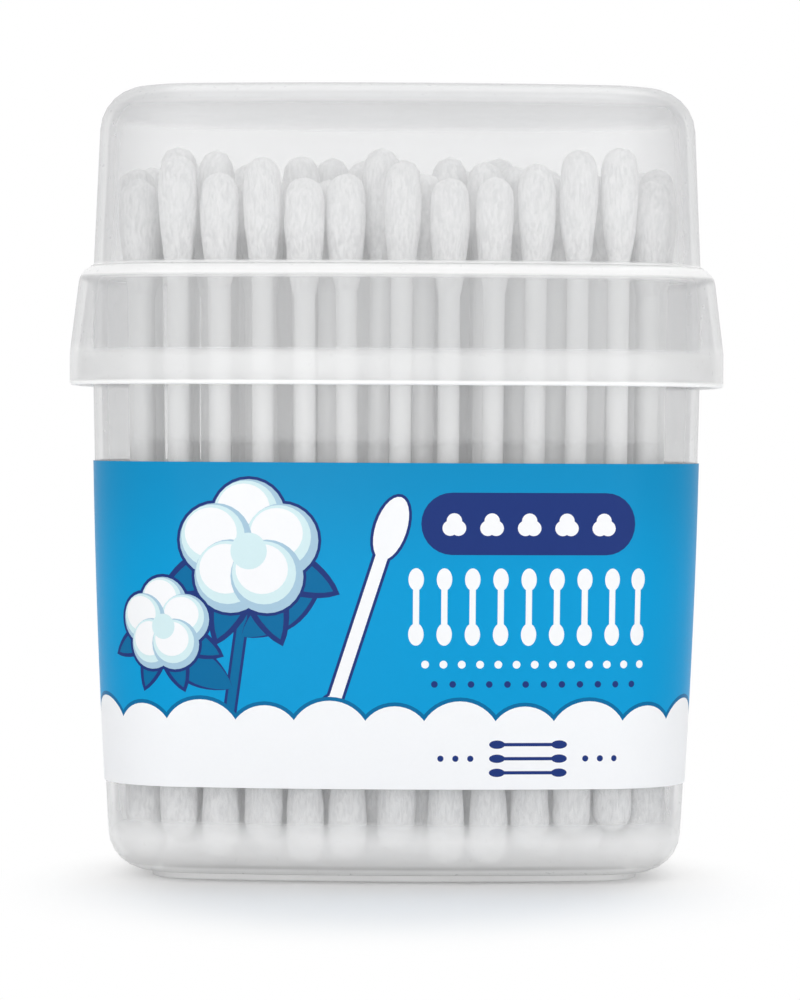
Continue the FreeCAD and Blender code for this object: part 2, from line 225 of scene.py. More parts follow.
def new_group(
    name: str, inputs: Sequence[tuple[str, str, float]], outputs: Sequence[tuple[str, str]]
) -> TreeParts:
    """Starts a shader node group.

    Args:
        name: The group's name.
        inputs: Name, socket type and starting value of each input.
        outputs: Name and socket type of each output.

    Returns:
        The group's tree, its wiring, its input node and its output node.
    """
    tree = bpy.data.node_groups.new(name, "ShaderNodeTree")
    for label, kind, value in inputs:
        socket = tree.interface.new_socket(label, in_out="INPUT", socket_type=kind)
        socket.default_value = value
    for label, kind in outputs:
        tree.interface.new_socket(label, in_out="OUTPUT", socket_type=kind)
    wiring = Wiring(tree)
    return tree, wiring, wiring.add("NodeGroupInput"), wiring.add("NodeGroupOutput")


def moulded_skin_group() -> bpy.types.NodeTree:
    """The fine grain and slow waviness of a moulded or rolled plastic surface.

    Returns:
        A group that puts out a shade mask, a gloss mask and a height.
    """
    number, grain_share = "NodeSocketFloat", 0.12
    tree, wires, entry, leave = new_group(
        "moulded_skin",
        [("Grain", number, 900.0), ("Wave", number, 60.0), ("Wave Height", number, 0.6)],
        [("Shade", number), ("Gloss", number), ("Height", number)],
    )
    place = wires.place()
    grain = wires.add(
        "ShaderNodeTexNoise", Vector=place, Scale=entry.outputs["Grain"], Detail=3.0, Roughness=0.6
    )
    wave = wires.add("ShaderNodeTexNoise", Vector=place, Scale=entry.outputs["Wave"], Detail=1.0)
    swell = wires.math("MULTIPLY", wave.outputs[0], entry.outputs["Wave Height"])
    wires.feed(leave.inputs["Shade"], wave.outputs[0])
    wires.feed(leave.inputs["Gloss"], grain.outputs[0])
    height = wires.math("ADD", wires.math("MULTIPLY", grain.outputs[0], grain_share), swell)
    wires.feed(leave.inputs["Height"], height)
    return tree


def wound_cotton_group() -> bpy.types.NodeTree:
    """Loose cotton fibres wound round an upright stick.

    Returns:
        A group that puts out a fibre mask and a height.
    """
    number, fibre_share = "NodeSocketFloat", 0.35
    tree, wires, entry, leave = new_group(
        "wound_cotton",
        [("Fibre", number, 2600.0), ("Clump", number, 420.0)],
        [("Fibre Mask", number), ("Height", number)],
    )
    place = wires.place()
    slant = wires.add("ShaderNodeMapping", Vector=place, Rotation=(0.25, 0.2, 0.0), Scale=(1.0, 1.0, 0.3))
    fibre = wires.add(
        "ShaderNodeTexNoise",
        Vector=slant.outputs[0],
        Scale=entry.outputs["Fibre"],
        Detail=4.0,
        Roughness=0.65,
        Distortion=0.8,
    )
    clump = wires.add("ShaderNodeTexNoise", Vector=place, Scale=entry.outputs["Clump"], Detail=2.0)
    fibres = wires.math("MULTIPLY", fibre.outputs[0], fibre_share)
    both = wires.math("ADD", fibres, clump.outputs[0])
    wires.feed(leave.inputs["Fibre Mask"], fibre.outputs[0])
    wires.feed(leave.inputs["Height"], both)
    return tree


def thick_zone_group() -> bpy.types.NodeTree:
    """A soft level band, where a wall is thick or is joined to another.

    Returns:
        A group that puts out a mask, one in the band's middle and nought past its reach.
    """
    number, full_share = "NodeSocketFloat", 0.45
    tree, wires, entry, leave = new_group(
        "thick_zone",
        [("Height", number, 0.0), ("Middle", number, 0.0), ("Reach", number, 0.001)],
        [("Mask", number)],
    )
    apart = wires.math("SUBTRACT", entry.outputs["Height"], entry.outputs["Middle"])
    share = wires.math("DIVIDE", wires.math("ABSOLUTE", apart), entry.outputs["Reach"])
    wires.feed(leave.inputs["Mask"], wires.ramp(share, full_share, 1.0, low=1.0, high=0.0))
    return tree


class Effects:
    """The node groups that the finishes use, each built once."""

    def __init__(self) -> None:
        """Builds the groups."""
        self.skin = moulded_skin_group()
        self.cotton = wound_cotton_group()
        self.zone = thick_zone_group()


def new_material(name: str) -> tuple[bpy.types.Material, Wiring, bpy.types.Node]:
    """Starts a material.

    Args:
        name: The material's name.

    Returns:
        The material, its wiring and its Principled BSDF.
    """
    material = bpy.data.materials.new(name)
    material.use_nodes = True
    return material, Wiring(material.node_tree), material.node_tree.nodes["Principled BSDF"]


@dataclass(frozen=True)
class Surface:
    """How rough a finish is, how far that swings, and how strong and how deep its relief is."""

    roughness: float
    swing: float
    relief: float
    depth: float

    def dress(
        self,
        wires: Wiring,
        shader: bpy.types.Node,
        mask: bpy.types.NodeSocket,
        height: bpy.types.NodeSocket,
    ) -> None:
        """Gives a material its roughness and its relief.

        Args:
            wires: The material's wiring.
            shader: The material's Principled BSDF.
            mask: What the roughness follows.
            height: What the relief follows.
        """
        gloss = self.roughness
        if self.swing:
            gloss = wires.math("ADD", wires.math("MULTIPLY", mask, self.swing), gloss)
        wires.feed(shader.inputs["Roughness"], gloss)
        bump = wires.add("ShaderNodeBump", Strength=self.relief, Distance=self.depth, Height=height)
        wires.feed(shader.inputs["Normal"], bump.outputs[0])


@dataclass(frozen=True)
class Zone:
    """A level band of a moulded wall, in millimetres, where the plastic is thick.

    The cover is its least alpha, and the fourth number is how far its colour is painted white: a
    painted highlight that stands in for the light that the thick plastic gathers.
    """

    middle: float
    reach: float
    cover: float
    painted_highlight: float = 0.0


@dataclass(frozen=True)
class FrostedPlastic:
    """Thin milky polypropylene.

    It is clear where it is seen square on, denser where it is seen on edge, and hazy where the
    camera looks at a wall's inner side through the wall in front of it. It scatters light more than
    it stops it, so only a share of its cover stands in the way of light. The cover varies by the
    mottle from spot to spot, and inner_edge_cut is taken off where an inner side is seen on edge.
    Its colour is greyed where it is seen on edge, a painted shade along its outlines, and painted
    white in its zones, a painted highlight where the thick bands catch the light.
    """

    name: str
    tint: Color
    mottle_tint: Color
    # painted shade: the grey that the colour turns where the plastic is seen on edge
    painted_outline_shade: Color
    # the white of the painted highlight that the zones paint in
    painted_highlight_white: Color
    face_cover: float
    edge_cover: float
    far_cover: float
    zones: tuple[Zone, ...] = ()
    light_share: float = 0.5
    most_cover: float = 0.97
    mottle: float = 0.05
    edge_power: float = 2.2
    painted_outline_shade_power: float = 1.3
    inner_edge_cut: float = 0.65
    ior: float = 1.49
    surface: Surface = Surface(roughness=0.22, swing=0.16, relief=0.35, depth=0.000015)

    def material(self, effects: Effects) -> bpy.types.Material:
        """Builds the material.

        Args:
            effects: The shared node groups.

        Returns:
            The finished material.
        """
        material, wires, shader = new_material(self.name)
        skin = wires.group(effects.skin, Grain=1400.0, Wave=55.0, Wave_Height=1.0)
        self.surface.dress(wires, shader, skin.outputs["Gloss"], skin.outputs["Height"])
        facing = wires.add("ShaderNodeLayerWeight", Blend=0.5).outputs["Facing"]
        turned_away = wires.add("ShaderNodeNewGeometry").outputs["Backfacing"]
        toward = wires.math("SUBTRACT", 1.0, turned_away)
        inside = wires.add("ShaderNodeAttribute", {"attribute_name": "inside"}).outputs["Fac"]
        outer = wires.math("SUBTRACT", 1.0, wires.math("MULTIPLY", inside, self.inner_edge_cut))
        near = wires.math("MULTIPLY", toward, outer)
        steep = wires.math("MULTIPLY", wires.math("POWER", facing, self.edge_power), near)
        spread = wires.math("MULTIPLY", steep, self.edge_cover - self.face_cover)
        mottle = wires.math("MULTIPLY", skin.outputs["Shade"], self.mottle)
        plain = wires.math("ADD", spread, self.face_cover - self.mottle / 2)
        cover = wires.math("ADD", plain, mottle)
        seen = wires.add("ShaderNodeLightPath").outputs["Is Camera Ray"]
        far = wires.math("MULTIPLY", wires.math("MULTIPLY", inside, toward), seen)
        cover = wires.math("MAXIMUM", cover, wires.math("MULTIPLY", far, self.far_cover))
        height = wires.level()
        painted_outline_shade_share, bright = wires.math("POWER", facing, self.painted_outline_shade_power), 0.0
        for zone in self.zones:
            middle, reach = zone.middle * MM, zone.reach * MM
            band = wires.group(effects.zone, Height=height, Middle=middle, Reach=reach)
            mask = band.outputs["Mask"]
            cover = wires.math("MAXIMUM", cover, wires.math("MULTIPLY", mask, zone.cover))
            # Each zone's fourth number adds to the painted highlight.
            bright = wires.math("MAXIMUM", bright, wires.math("MULTIPLY", mask, zone.painted_highlight))
        color = wires.blend(skin.outputs["Shade"], self.tint, self.mottle_tint)
        # Painted shade: the colour is darkened towards grey where the plastic is seen on edge.
        color = wires.blend(painted_outline_shade_share, color, self.painted_outline_shade)
        # Painted highlight: the colour is painted white in the zones.
        wires.feed(shader.inputs["Base Color"], wires.blend(bright, color, self.painted_highlight_white))
        share = wires.math("ADD", wires.math("MULTIPLY", seen, 1 - self.light_share), self.light_share)
        cover = wires.math("MINIMUM", cover, self.most_cover)
        wires.feed(shader.inputs["Alpha"], wires.math("MULTIPLY", cover, share))
        shader.inputs["IOR"].default_value = self.ior
        material.surface_render_method = "BLENDED"
        return material


@dataclass(frozen=True)
class PrintedFilm:
    """One ink on the satin film band. The sky ink deepens towards the band's upper edge."""

    ink: Ink
    deep_share: float = 0.0
    deep: Color = srgb(16, 138, 190)
    deep_from: float = 30.0
    deep_to: float = 46.0
    speck_tone: float = 0.93
    speck_share: float = 0.35
    shine: float = 0.08
    surface: Surface = Surface(roughness=0.3, swing=0.14, relief=0.25, depth=0.00003)

    def material(self, effects: Effects) -> bpy.types.Material:
        """Builds the material.

        Args:
            effects: The shared node groups.

        Returns:
            The finished material.
        """
        material, wires, shader = new_material(f"film_{self.ink.name.lower()}")
        plain = srgb(*self.ink.value)
        darker = tuple(part * self.speck_tone for part in plain)
        skin = wires.group(effects.skin, Grain=2600.0, Wave=38.0, Wave_Height=2.2)
        self.surface.dress(wires, shader, skin.outputs["Gloss"], skin.outputs["Height"])
        specks = wires.math("MULTIPLY", skin.outputs["Gloss"], self.speck_share)
        color = wires.blend(specks, plain, darker)
        if self.deep_share:
            start, end = self.deep_from * MM, self.deep_to * MM
            rise = wires.ramp(wires.level(), start, end, high=self.deep_share)
            color = wires.blend(rise, color, self.deep)
        wires.feed(shader.inputs["Base Color"], color)
        shader.inputs["Specular IOR Level"].default_value = self.shine
        return material


@dataclass(frozen=True)
class StickPlastic:
    """Smooth white extruded plastic with faint lines along it."""

    name: str = "stick_plastic"
    color: Color = srgb(240, 240, 239)
    line_color: Color = srgb(224, 225, 226)
    line_stretch: float = 0.02
    surface: Surface = Surface(roughness=0.3, swing=0.2, relief=0.2, depth=0.00002)

    def material(self, effects: Effects) -> bpy.types.Material:
        """Builds the material.

        Args:
            effects: The shared node groups.

        Returns:
            The finished material.
        """
        material, wires, shader = new_material(self.name)
        skin = wires.group(effects.skin, Grain=1800.0, Wave=90.0, Wave_Height=0.4)
        stretch = (1.0, 1.0, self.line_stretch)
        drawn = wires.add("ShaderNodeMapping", Vector=wires.place(), Scale=stretch)
        lines = wires.add("ShaderNodeTexNoise", Vector=drawn.outputs[0], Scale=2400.0, Detail=2.0)
        wires.feed(shader.inputs["Base Color"], wires.blend(lines.outputs[0], self.color, self.line_color))
        self.surface.dress(wires, shader, skin.outputs["Gloss"], lines.outputs[0])
        return material


@dataclass(frozen=True)
class CottonWool:
    """Bleached cotton, matt, with a soft bright edge where its loose fibres catch the light."""

    name: str = "cotton_wool"
    color: Color = srgb(242, 242, 242)
    hollow_color: Color = srgb(218, 218, 219)
    fibre_from: float = 0.38
    fibre_to: float = 0.66
    shine: float = 0.15
    sheen: float = 0.25
    sheen_roughness: float = 0.5
    surface: Surface = Surface(roughness=0.95, swing=0.0, relief=0.7, depth=0.0005)

    def material(self, effects: Effects) -> bpy.types.Material:
        """Builds the material.

        Args:
            effects: The shared node groups.

        Returns:
            The finished material.
        """
        material, wires, shader = new_material(self.name)
        wool = wires.group(effects.cotton, Fibre=2600.0, Clump=420.0)
        shade = wires.ramp(wool.outputs["Fibre Mask"], self.fibre_from, self.fibre_to)
        wires.feed(shader.inputs["Base Color"], wires.blend(shade, self.color, self.hollow_color))
        self.surface.dress(wires, shader, wool.outputs["Fibre Mask"], wool.outputs["Height"])
        shader.inputs["Specular IOR Level"].default_value = self.shine
        shader.inputs["Sheen Weight"].default_value = self.sheen
        shader.inputs["Sheen Roughness"].default_value = self.sheen_roughness
        return material


class Finishes:
    """Every finish on the pack, built once."""

    def __init__(self) -> None:
        """Builds the shared effects and the materials."""
        effects = Effects()
        # The last two colours are painted light: the grey of a painted shade on outlines seen on edge, and
        # the white of the painted highlight in the zones.
        tints_and_painted_light = srgb(243, 243, 244), srgb(234, 235, 236), srgb(178, 179, 181), srgb(251, 251, 251)
        # A zone's fourth number is its painted highlight: along the tub's flange and rim, round its base
        # and foot, and along the lid's shoulder, lower skirt and lip.
        collar = (Zone(55.3, 1.8, 0.35, 1.0), Zone(65.2, 0.9, 0.5, 1.0))
        base = (Zone(1.0, 7.5, 0.55, 1.0), Zone(0.6, 1.6, 0.85, 1.0), Zone(50.6, 5.6, 0.25))
        skirt = (Zone(65.6, 1.0, 0.9, 1.0), Zone(55.1, 3.0, 0.38, 0.5), Zone(53.2, 0.7, 0.95, 1.0))
        dome = (Zone(85.5, 3.5, 0.5), Zone(77.0, 13.0, 0.27))
        tub = FrostedPlastic(
            "frosted_tub", *tints_and_painted_light, face_cover=0.17, edge_cover=0.8, far_cover=0.45, zones=collar + base
        )
        lid = FrostedPlastic(
            "frosted_lid", *tints_and_painted_light, face_cover=0.18, edge_cover=0.86, far_cover=0.22, zones=skirt + dome
        )
        self.tub, self.lid = tub.material(effects), lid.material(effects)
        self.stick = StickPlastic().material(effects)
        self.cotton = CottonWool().material(effects)
        deepening = {Ink.SKY: 0.85}
        self.inks = {
            ink: PrintedFilm(ink, deepening.get(ink, 0.0)).material(effects) for ink in Ink
        }


@dataclass(frozen=True)
class Outline:
    """The collar's plan: two long bows, two short bows and four corners, all tangent.

    The columns of a mesh's points stand about half of column_turn degrees or half of column_reach
    millimetres apart, whichever gives more of them.
    """

    half_width: float = 33.3
    half_depth: float = 22.5
    corner: float = 12.0
    front_bow: float = 140.0
    side_bow: float = 120.0
    column_turn: float = 11.0
    column_reach: float = 4.8

    def arcs(self) -> list[tuple[float, float, float, float, float]]:
        """The arcs in order, anticlockwise from the middle of the front.

        Returns:
            Centre x, centre y, radius, start angle and end angle of each arc.
        """
        side_x = self.half_width - self.side_bow
        back_y = self.half_depth - self.front_bow
        apart = math.hypot(side_x, back_y)
        to_side, to_back = self.side_bow - self.corner, self.front_bow - self.corner
        along = (to_side**2 - to_back**2 + apart**2) / (2 * apart)
        across = math.sqrt(to_side**2 - along**2)
        unit_x, unit_y = -side_x / apart, back_y / apart
        x = side_x + unit_x * along - unit_y * across
        y = unit_y * along + unit_x * across
        at_side = math.atan2(y, x - side_x)
        at_back = math.atan2(y - back_y, x)
        turn = math.pi
        return [
            (0.0, -back_y, self.front_bow, -turn / 2, -at_back),
            (x, -y, self.corner, -at_back, -at_side),
            (side_x, 0.0, self.side_bow, -at_side, at_side),
            (x, y, self.corner, at_side, at_back),
            (0.0, back_y, self.front_bow, at_back, turn - at_back),
            (-x, y, self.corner, turn - at_back, turn - at_side),
            (-side_x, 0.0, self.side_bow, turn - at_side, turn + at_side),
            (-x, -y, self.corner, turn + at_side, turn + at_back),
            (0.0, -back_y, self.front_bow, turn + at_back, 1.5 * turn),
        ]

    def length(self) -> float:
        """The whole way round, in millimetres."""
        return sum(radius * (end - start) for _, _, radius, start, end in self.arcs())

    def stops(self) -> np.ndarray:
        """Distances from the middle of the front at which a mesh has a column of points.

        Returns:
            The distances, from minus half the way round to plus half.
        """
        found, walked = [], 0.0
        for _, _, radius, start, end in self.arcs():
            reach = radius * (end - start)
            turns = round(math.degrees(end - start) / self.column_turn)
            count = 2 * max(1, turns, round(reach / self.column_reach))
            found += [walked + reach * i / count for i in range(count)]
            walked += reach
        around = np.array(found)
        around = np.where(around > walked / 2 + HAIR, around - walked, around)
        return np.sort(around)

    def at(self, around: np.ndarray) -> tuple[np.ndarray, np.ndarray]:
        """Points of the outline and the directions straight out of it.

        Args:
            around: Distances from the middle of the front, towards +X.

        Returns:
            Plan points and unit plan normals, one row each.
        """
        wrapped = np.mod(around, self.length())
        points, normals = np.zeros((len(around), 2)), np.zeros((len(around), 2))
        walked = 0.0
        for x, y, radius, start, end in self.arcs():
            reach = radius * (end - start)
            here = (wrapped >= walked - HAIR) & (wrapped <= walked + reach + HAIR)
            angle = start + (wrapped[here] - walked) / radius
            out = np.stack([np.cos(angle), np.sin(angle)], axis=1)
            points[here], normals[here] = np.array([x, y]) + out * radius, out
            walked += reach
        return points, normals


@dataclass(frozen=True)
class Corner:
    """One corner of a wall's section: its offset from the outline, its height and its round.

    The corners of the shell's inner side have inside set to one.
    """

    offset: float
    height: float
    round: float = 0.0
    inside: float = 0.0


def polyline_object(name: str, points: Iterable[Sequence[float]], closed: bool) -> bpy.types.Object:
    """A mesh of points joined by edges, for a geometry tree to read.

    Args:
        name: The object's name.
        points: The points, in metres.
        closed: Whether the last point joins the first.

    Returns:
        The object, linked to the scene.
    """
    mesh = bpy.data.meshes.new(name)
    points = [tuple(p) for p in points]
    edges = [(i, i + 1) for i in range(len(points) - 1)]
    if closed:
        edges.append((len(points) - 1, 0))
    mesh.from_pydata(points, edges, [])
    return linked(name, mesh)


def set_inputs(modifier: bpy.types.NodesModifier, values: dict[str, object]) -> None:
    """Sets a geometry tree's inputs through their identifiers.

    Args:
        modifier: The modifier that holds the tree.
        values: The inputs' values by name.
    """
    for item in modifier.node_group.interface.items_tree:
        if getattr(item, "in_out", "") == "INPUT" and item.name in values:
            modifier[item.identifier] = values[item.name]


def grow(
    source: bpy.types.Object, tree: bpy.types.NodeTree, values: dict[str, object], name: str
) -> bpy.types.Object:
    """Runs a geometry tree on an object and keeps the result as a plain mesh object.

    Args:
        source: The object that the tree starts from, removed afterwards.
        tree: The geometry tree.
        values: The tree's inputs by name.
        name: The name of the new piece.

    Returns:
        The new piece, with no modifier.
    """
    modifier = source.modifiers.new("grow", "NODES")
    modifier.node_group = tree
    set_inputs(modifier, values)
    bpy.context.view_layer.update()
    evaluated = source.evaluated_get(bpy.context.evaluated_depsgraph_get())
    mesh = bpy.data.meshes.new_from_object(evaluated)
    mesh.name = name
    bpy.data.objects.remove(source)
    return linked(name, mesh)


def geometry_tree(name: str, inputs: Sequence[tuple[str, str, object]]) -> TreeParts:
    """Starts a geometry tree.

    Args:
        name: The tree's name.
        inputs: Name, socket type and starting value, or None, of each input after the geometry.

    Returns:
        The tree, its wiring, its input node and its output node.
    """
    tree = bpy.data.node_groups.new(name, "GeometryNodeTree")
    tree.interface.new_socket("Geometry", in_out="INPUT", socket_type="NodeSocketGeometry")
    for label, kind, value in inputs:
        socket = tree.interface.new_socket(label, in_out="INPUT", socket_type=kind)
        if value is not None:
            socket.default_value = value
    tree.interface.new_socket("Geometry", in_out="OUTPUT", socket_type="NodeSocketGeometry")
    wiring = Wiring(tree)
    return tree, wiring, wiring.add("NodeGroupInput"), wiring.add("NodeGroupOutput")


def wall_tree() -> bpy.types.NodeTree:
    """A tree that sweeps a section with rounded corners once round the plan outline.

    Returns:
        The tree. Its inputs are the section, the points in each round and the material.
    """
    tree, wires, entry, leave = geometry_tree(
        "moulded_wall",
        [
            ("Section", "NodeSocketObject", None),
            ("Round Points", "NodeSocketInt", 5),
            ("Material", "NodeSocketMaterial", None),
        ],
    )
    path = wires.add("GeometryNodeMeshToCurve", Mesh=entry.outputs["Geometry"]).outputs[0]
    upright = wires.add("GeometryNodeSetCurveNormal", {"mode": "Z_UP"}, Curve=path)
    section = wires.add("GeometryNodeObjectInfo", Object=entry.outputs["Section"]).outputs["Geometry"]
    line = wires.add("GeometryNodeMeshToCurve", Mesh=section).outputs[0]
    radius = wires.add("GeometryNodeInputNamedAttribute", {"data_type": "FLOAT"}, Name="round")
    rounded = wires.add(
        "GeometryNodeFilletCurve",
        {"mode": "POLY"},
        Curve=line,
        Radius=radius.outputs[0],
        Count=entry.outputs["Round Points"],
    )
    swept = wires.add(
        "GeometryNodeCurveToMesh", Curve=upright.outputs[0], Profile_Curve=rounded.outputs[0]
    )
    real = wires.add("GeometryNodeRealizeInstances", Geometry=swept.outputs[0])
    smooth = wires.add("GeometryNodeSetShadeSmooth", Geometry=real.outputs[0])
    dressed = wires.add(
        "GeometryNodeSetMaterial", Geometry=smooth.outputs[0], Material=entry.outputs["Material"]
    )
    wires.feed(leave.inputs[0], dressed.outputs[0])
    return tree


def close_flats(piece: bpy.types.Object, crease: float, weld: float = 0.002) -> None:
    """Closes the flat floor or top of a swept wall and keeps its sharp edges sharp.

    Args:
        piece: The swept wall, open at its flat parts.
        crease: Edges that bend by more than this many degrees stay sharp.
        weld: Points closer than this, in millimetres, become one.
    """
    work = bmesh.new()
    work.from_mesh(piece.data)
    bmesh.ops.remove_doubles(work, verts=work.verts, dist=weld * MM)
    rims = [e for e in work.edges if e.is_boundary]
    made = bmesh.ops.holes_fill(work, edges=rims, sides=0)
    for face in made["faces"]:
        face.smooth = True
    bmesh.ops.recalc_face_normals(work, faces=work.faces)
    work.to_mesh(piece.data)
    work.free()
    piece.data.set_sharp_from_angle(angle=math.radians(crease))


@dataclass
class Shell:
    """A thin moulded shell: one section swept round the plan outline and closed by flat faces."""

    outline: Outline
    tree: bpy.types.NodeTree
    crease: float = 32.0
    round_points: int = 6

    def build(
        self, name: str, corners: Sequence[Corner], material: bpy.types.Material
    ) -> bpy.types.Object:
        """Sweeps and closes the shell.

        Args:
            name: The piece's name.
            corners: The section, from one flat part's edge to the other's.
            material: The shell's finish.

        Returns:
            The finished piece.
        """
        plan, _ = self.outline.at(self.outline.stops())
        path = polyline_object(f"{name}_path", [(x * MM, y * MM, 0) for x, y in plan], True)
        section = polyline_object(
            f"{name}_section", [(c.offset * MM, -c.height * MM, 0) for c in corners], False
        )
        rounds = section.data.attributes.new("round", "FLOAT", "POINT")
        rounds.data.foreach_set("value", [c.round * MM for c in corners])
        inner = section.data.attributes.new("inside", "FLOAT", "POINT")
        inner.data.foreach_set("value", [c.inside for c in corners])
        values = {"Section": section, "Round Points": self.round_points, "Material": material}
        piece = grow(path, self.tree, values, name)
        bpy.data.objects.remove(section)
        close_flats(piece, self.crease)
        return piece


@dataclass
class Tub:
    """The tub: collar, flange, bent wall, rounded base, foot ring and floor."""

    height: float = 65.2
    wall: float = 0.9
    upper_slope: float = 0.022
    lower_slope: float = 0.053
    bend_height: float = 29.0
    bend_radius: float = 900.0
    base_round: float = 4.3
    foot_height: float = 0.7
    foot_width: float = 1.2
    foot_inset: float = 0.3
    foot_round: float = 0.15
    rim_round: float = 0.25
    collar_height: float = 8.7
    flange_height: float = 2.4
    flange_reach: float = 1.4
    flange_round: float = 0.4

    @property
    def flange_top(self) -> float:
        """Height of the flange's upper face."""
        return self.height - self.collar_height

    @property
    def flange_foot(self) -> float:
        """Height of the flange's lower face."""
        return self.flange_top - self.flange_height

    @property
    def bend_out(self) -> float:
        """Offset of the wall where its two slopes meet."""
        return -self.upper_slope * (self.flange_foot - self.bend_height)

    def line_out(self, height: float) -> float:
        """Offset of the lower slope's line at a height."""
        return self.bend_out - self.lower_slope * (self.bend_height - height)

    def wall_out(self, height: np.ndarray) -> np.ndarray:
        """Offset of the outer wall at heights between the base round and the flange.

        Args:
            height: Heights above the floor.

        Returns:
            Offsets from the collar's outline.
        """
        bend = self.lower_slope - self.upper_slope
        reach = self.bend_radius * bend / 2
        low = self.bend_out - self.lower_slope * (self.bend_height - height)
        into = np.clip(height - (self.bend_height - reach), 0, 2 * reach)
        past = np.clip(height - (self.bend_height + reach), 0, None)
        return low - bend * into**2 / (4 * reach) - bend * past

    def section(self) -> list[Corner]:
        """The wall's section, from the recess under the floor, round the rim, to the floor.

        Returns:
            The section's corners in order.
        """
        wall, floor = self.wall, self.foot_height + self.wall
        base = self.line_out(self.foot_height)
        edge = base - self.base_round
        foot = edge - self.foot_inset
        recess = foot - self.foot_width
        return [
            Corner(recess, self.foot_height),
            Corner(recess, 0.0, self.foot_round),
            Corner(foot, 0.0, self.foot_round),
            Corner(foot, self.foot_height),
            Corner(base, self.foot_height, self.base_round),
            Corner(self.bend_out, self.bend_height, self.bend_radius),
            Corner(0.0, self.flange_foot),
            Corner(self.flange_reach, self.flange_foot, self.flange_round),
            Corner(self.flange_reach, self.flange_top, self.flange_round),
            Corner(0.0, self.flange_top),
            Corner(0.0, self.height, self.rim_round),
            Corner(-wall, self.height, self.rim_round, 1),
            Corner(-wall, self.flange_foot, 0, 1),
            Corner(self.bend_out - wall, self.bend_height, self.bend_radius - wall, 1),
            Corner(self.line_out(floor) - wall, floor, self.base_round - wall, 1),
            Corner(recess, floor, 0, 1),
        ]

    def build(self, shell: Shell, finishes: Finishes) -> bpy.types.Object:
        """Makes the tub and fixes it to its body.

        Args:
            shell: The maker of swept shells.
            finishes: The pack's finishes.

        Returns:
            The finished piece.
        """
        piece = shell.build("tub_shell", self.section(), finishes.tub)
        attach(piece, "tub")
        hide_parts("tub")
        return piece


@dataclass
class Lid:
    """The lid: flat top, tapered dome, rolled shoulder and flared skirt with an upright lip."""

    rim: float = 65.2
    top: float = 85.5
    wall: float = 0.9
    dome_slope: float = 0.044
    dome_round: float = 4.8
    top_margin: float = 0.6
    shoulder_reach: float = 1.4
    shoulder_round: float = 1.9
    shoulder_crease: float = 0.35
    lip_reach: float = 2.55
    lip_height: float = 3.6
    lip_round: float = 0.3
    lip_bend: float = 3.0
    inner_crease: float = 0.2
    skirt_height: float = 12.0

    def section(self) -> list[Corner]:
        """The wall's section, from the flat top, down the outside and up the inside.

        Returns:
            The section's corners in order.
        """
        wall, ledge = self.wall, self.rim + self.wall
        dome = -self.dome_slope * (self.top - ledge)
        edge = dome - self.dome_round - self.top_margin
        foot = self.rim - self.skirt_height
        return [
            Corner(edge, self.top),
            Corner(dome, self.top, self.dome_round),
            Corner(0.0, ledge, self.shoulder_crease),
            Corner(self.shoulder_reach, ledge, self.shoulder_round),
            Corner(self.lip_reach, foot + self.lip_height, self.lip_bend),
            Corner(self.lip_reach, foot, self.lip_round),
            Corner(self.lip_reach - wall, foot, self.lip_round, 1),
            Corner(self.lip_reach - wall, foot + self.lip_height, self.lip_bend, 1),
            Corner(self.shoulder_reach - wall, self.rim, self.inner_crease, 1),
            Corner(-wall, self.rim, self.inner_crease, 1),
            Corner(dome - wall, self.top - wall, self.dome_round - wall, 1),
            Corner(edge, self.top - wall, 0, 1),
        ]

    def build(self, shell: Shell, finishes: Finishes) -> bpy.types.Object:
        """Makes the lid and fixes it to its body.

        Args:
            shell: The maker of swept shells.
            finishes: The pack's finishes.

        Returns:
            The finished piece.
        """
        piece = shell.build("lid_shell", self.section(), finishes.lid)
        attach(piece, "lid")
        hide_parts("lid")
        return piece


@dataclass(frozen=True)
class Patch:
    """One printed shape on the flat film: a closed outline, in millimetres, and its ink."""

    points: Points
    ink: Ink


def settle(flat: Iterable[tuple[float, float]], x: float, y: float, turn: float) -> Points:
    """Turns a shape round its own middle and moves it into place.

    Args:
        flat: The shape's points, round its middle.
        x: Where the middle comes to lie, along the film.
        y: Where the middle comes to lie, up the film.
        turn: Degrees that the shape is turned anticlockwise.

    Returns:
        The outline's points.
    """
    cosine, sine = math.cos(math.radians(turn)), math.sin(math.radians(turn))
    return tuple((x + px * cosine - py * sine, y + px * sine + py * cosine) for px, py in flat)


def rounded_bar(
    x: float, y: float, width: float, height: float, turn: float = 0.0, steps: int = 8
) -> Points:
    """The outline of a bar with round ends.

    Args:
        x: Middle of the bar, along the film.
        y: Middle of the bar, up the film.
        width: Length of the bar.
        height: Thickness of the bar.
        turn: Degrees that the bar is turned anticlockwise.
        steps: Points in each end's half circle.

    Returns:
        The outline's points.
    """
    radius, reach = height / 2, max(width / 2 - height / 2, 0.0)
    flat = []
    for side, start in ((1, -math.pi / 2), (-1, math.pi / 2)):
        for step in range(steps + 1):
            bearing = start + math.pi * step / steps
            flat.append((side * reach + radius * math.cos(bearing), radius * math.sin(bearing)))
    return settle(flat, x, y, turn)


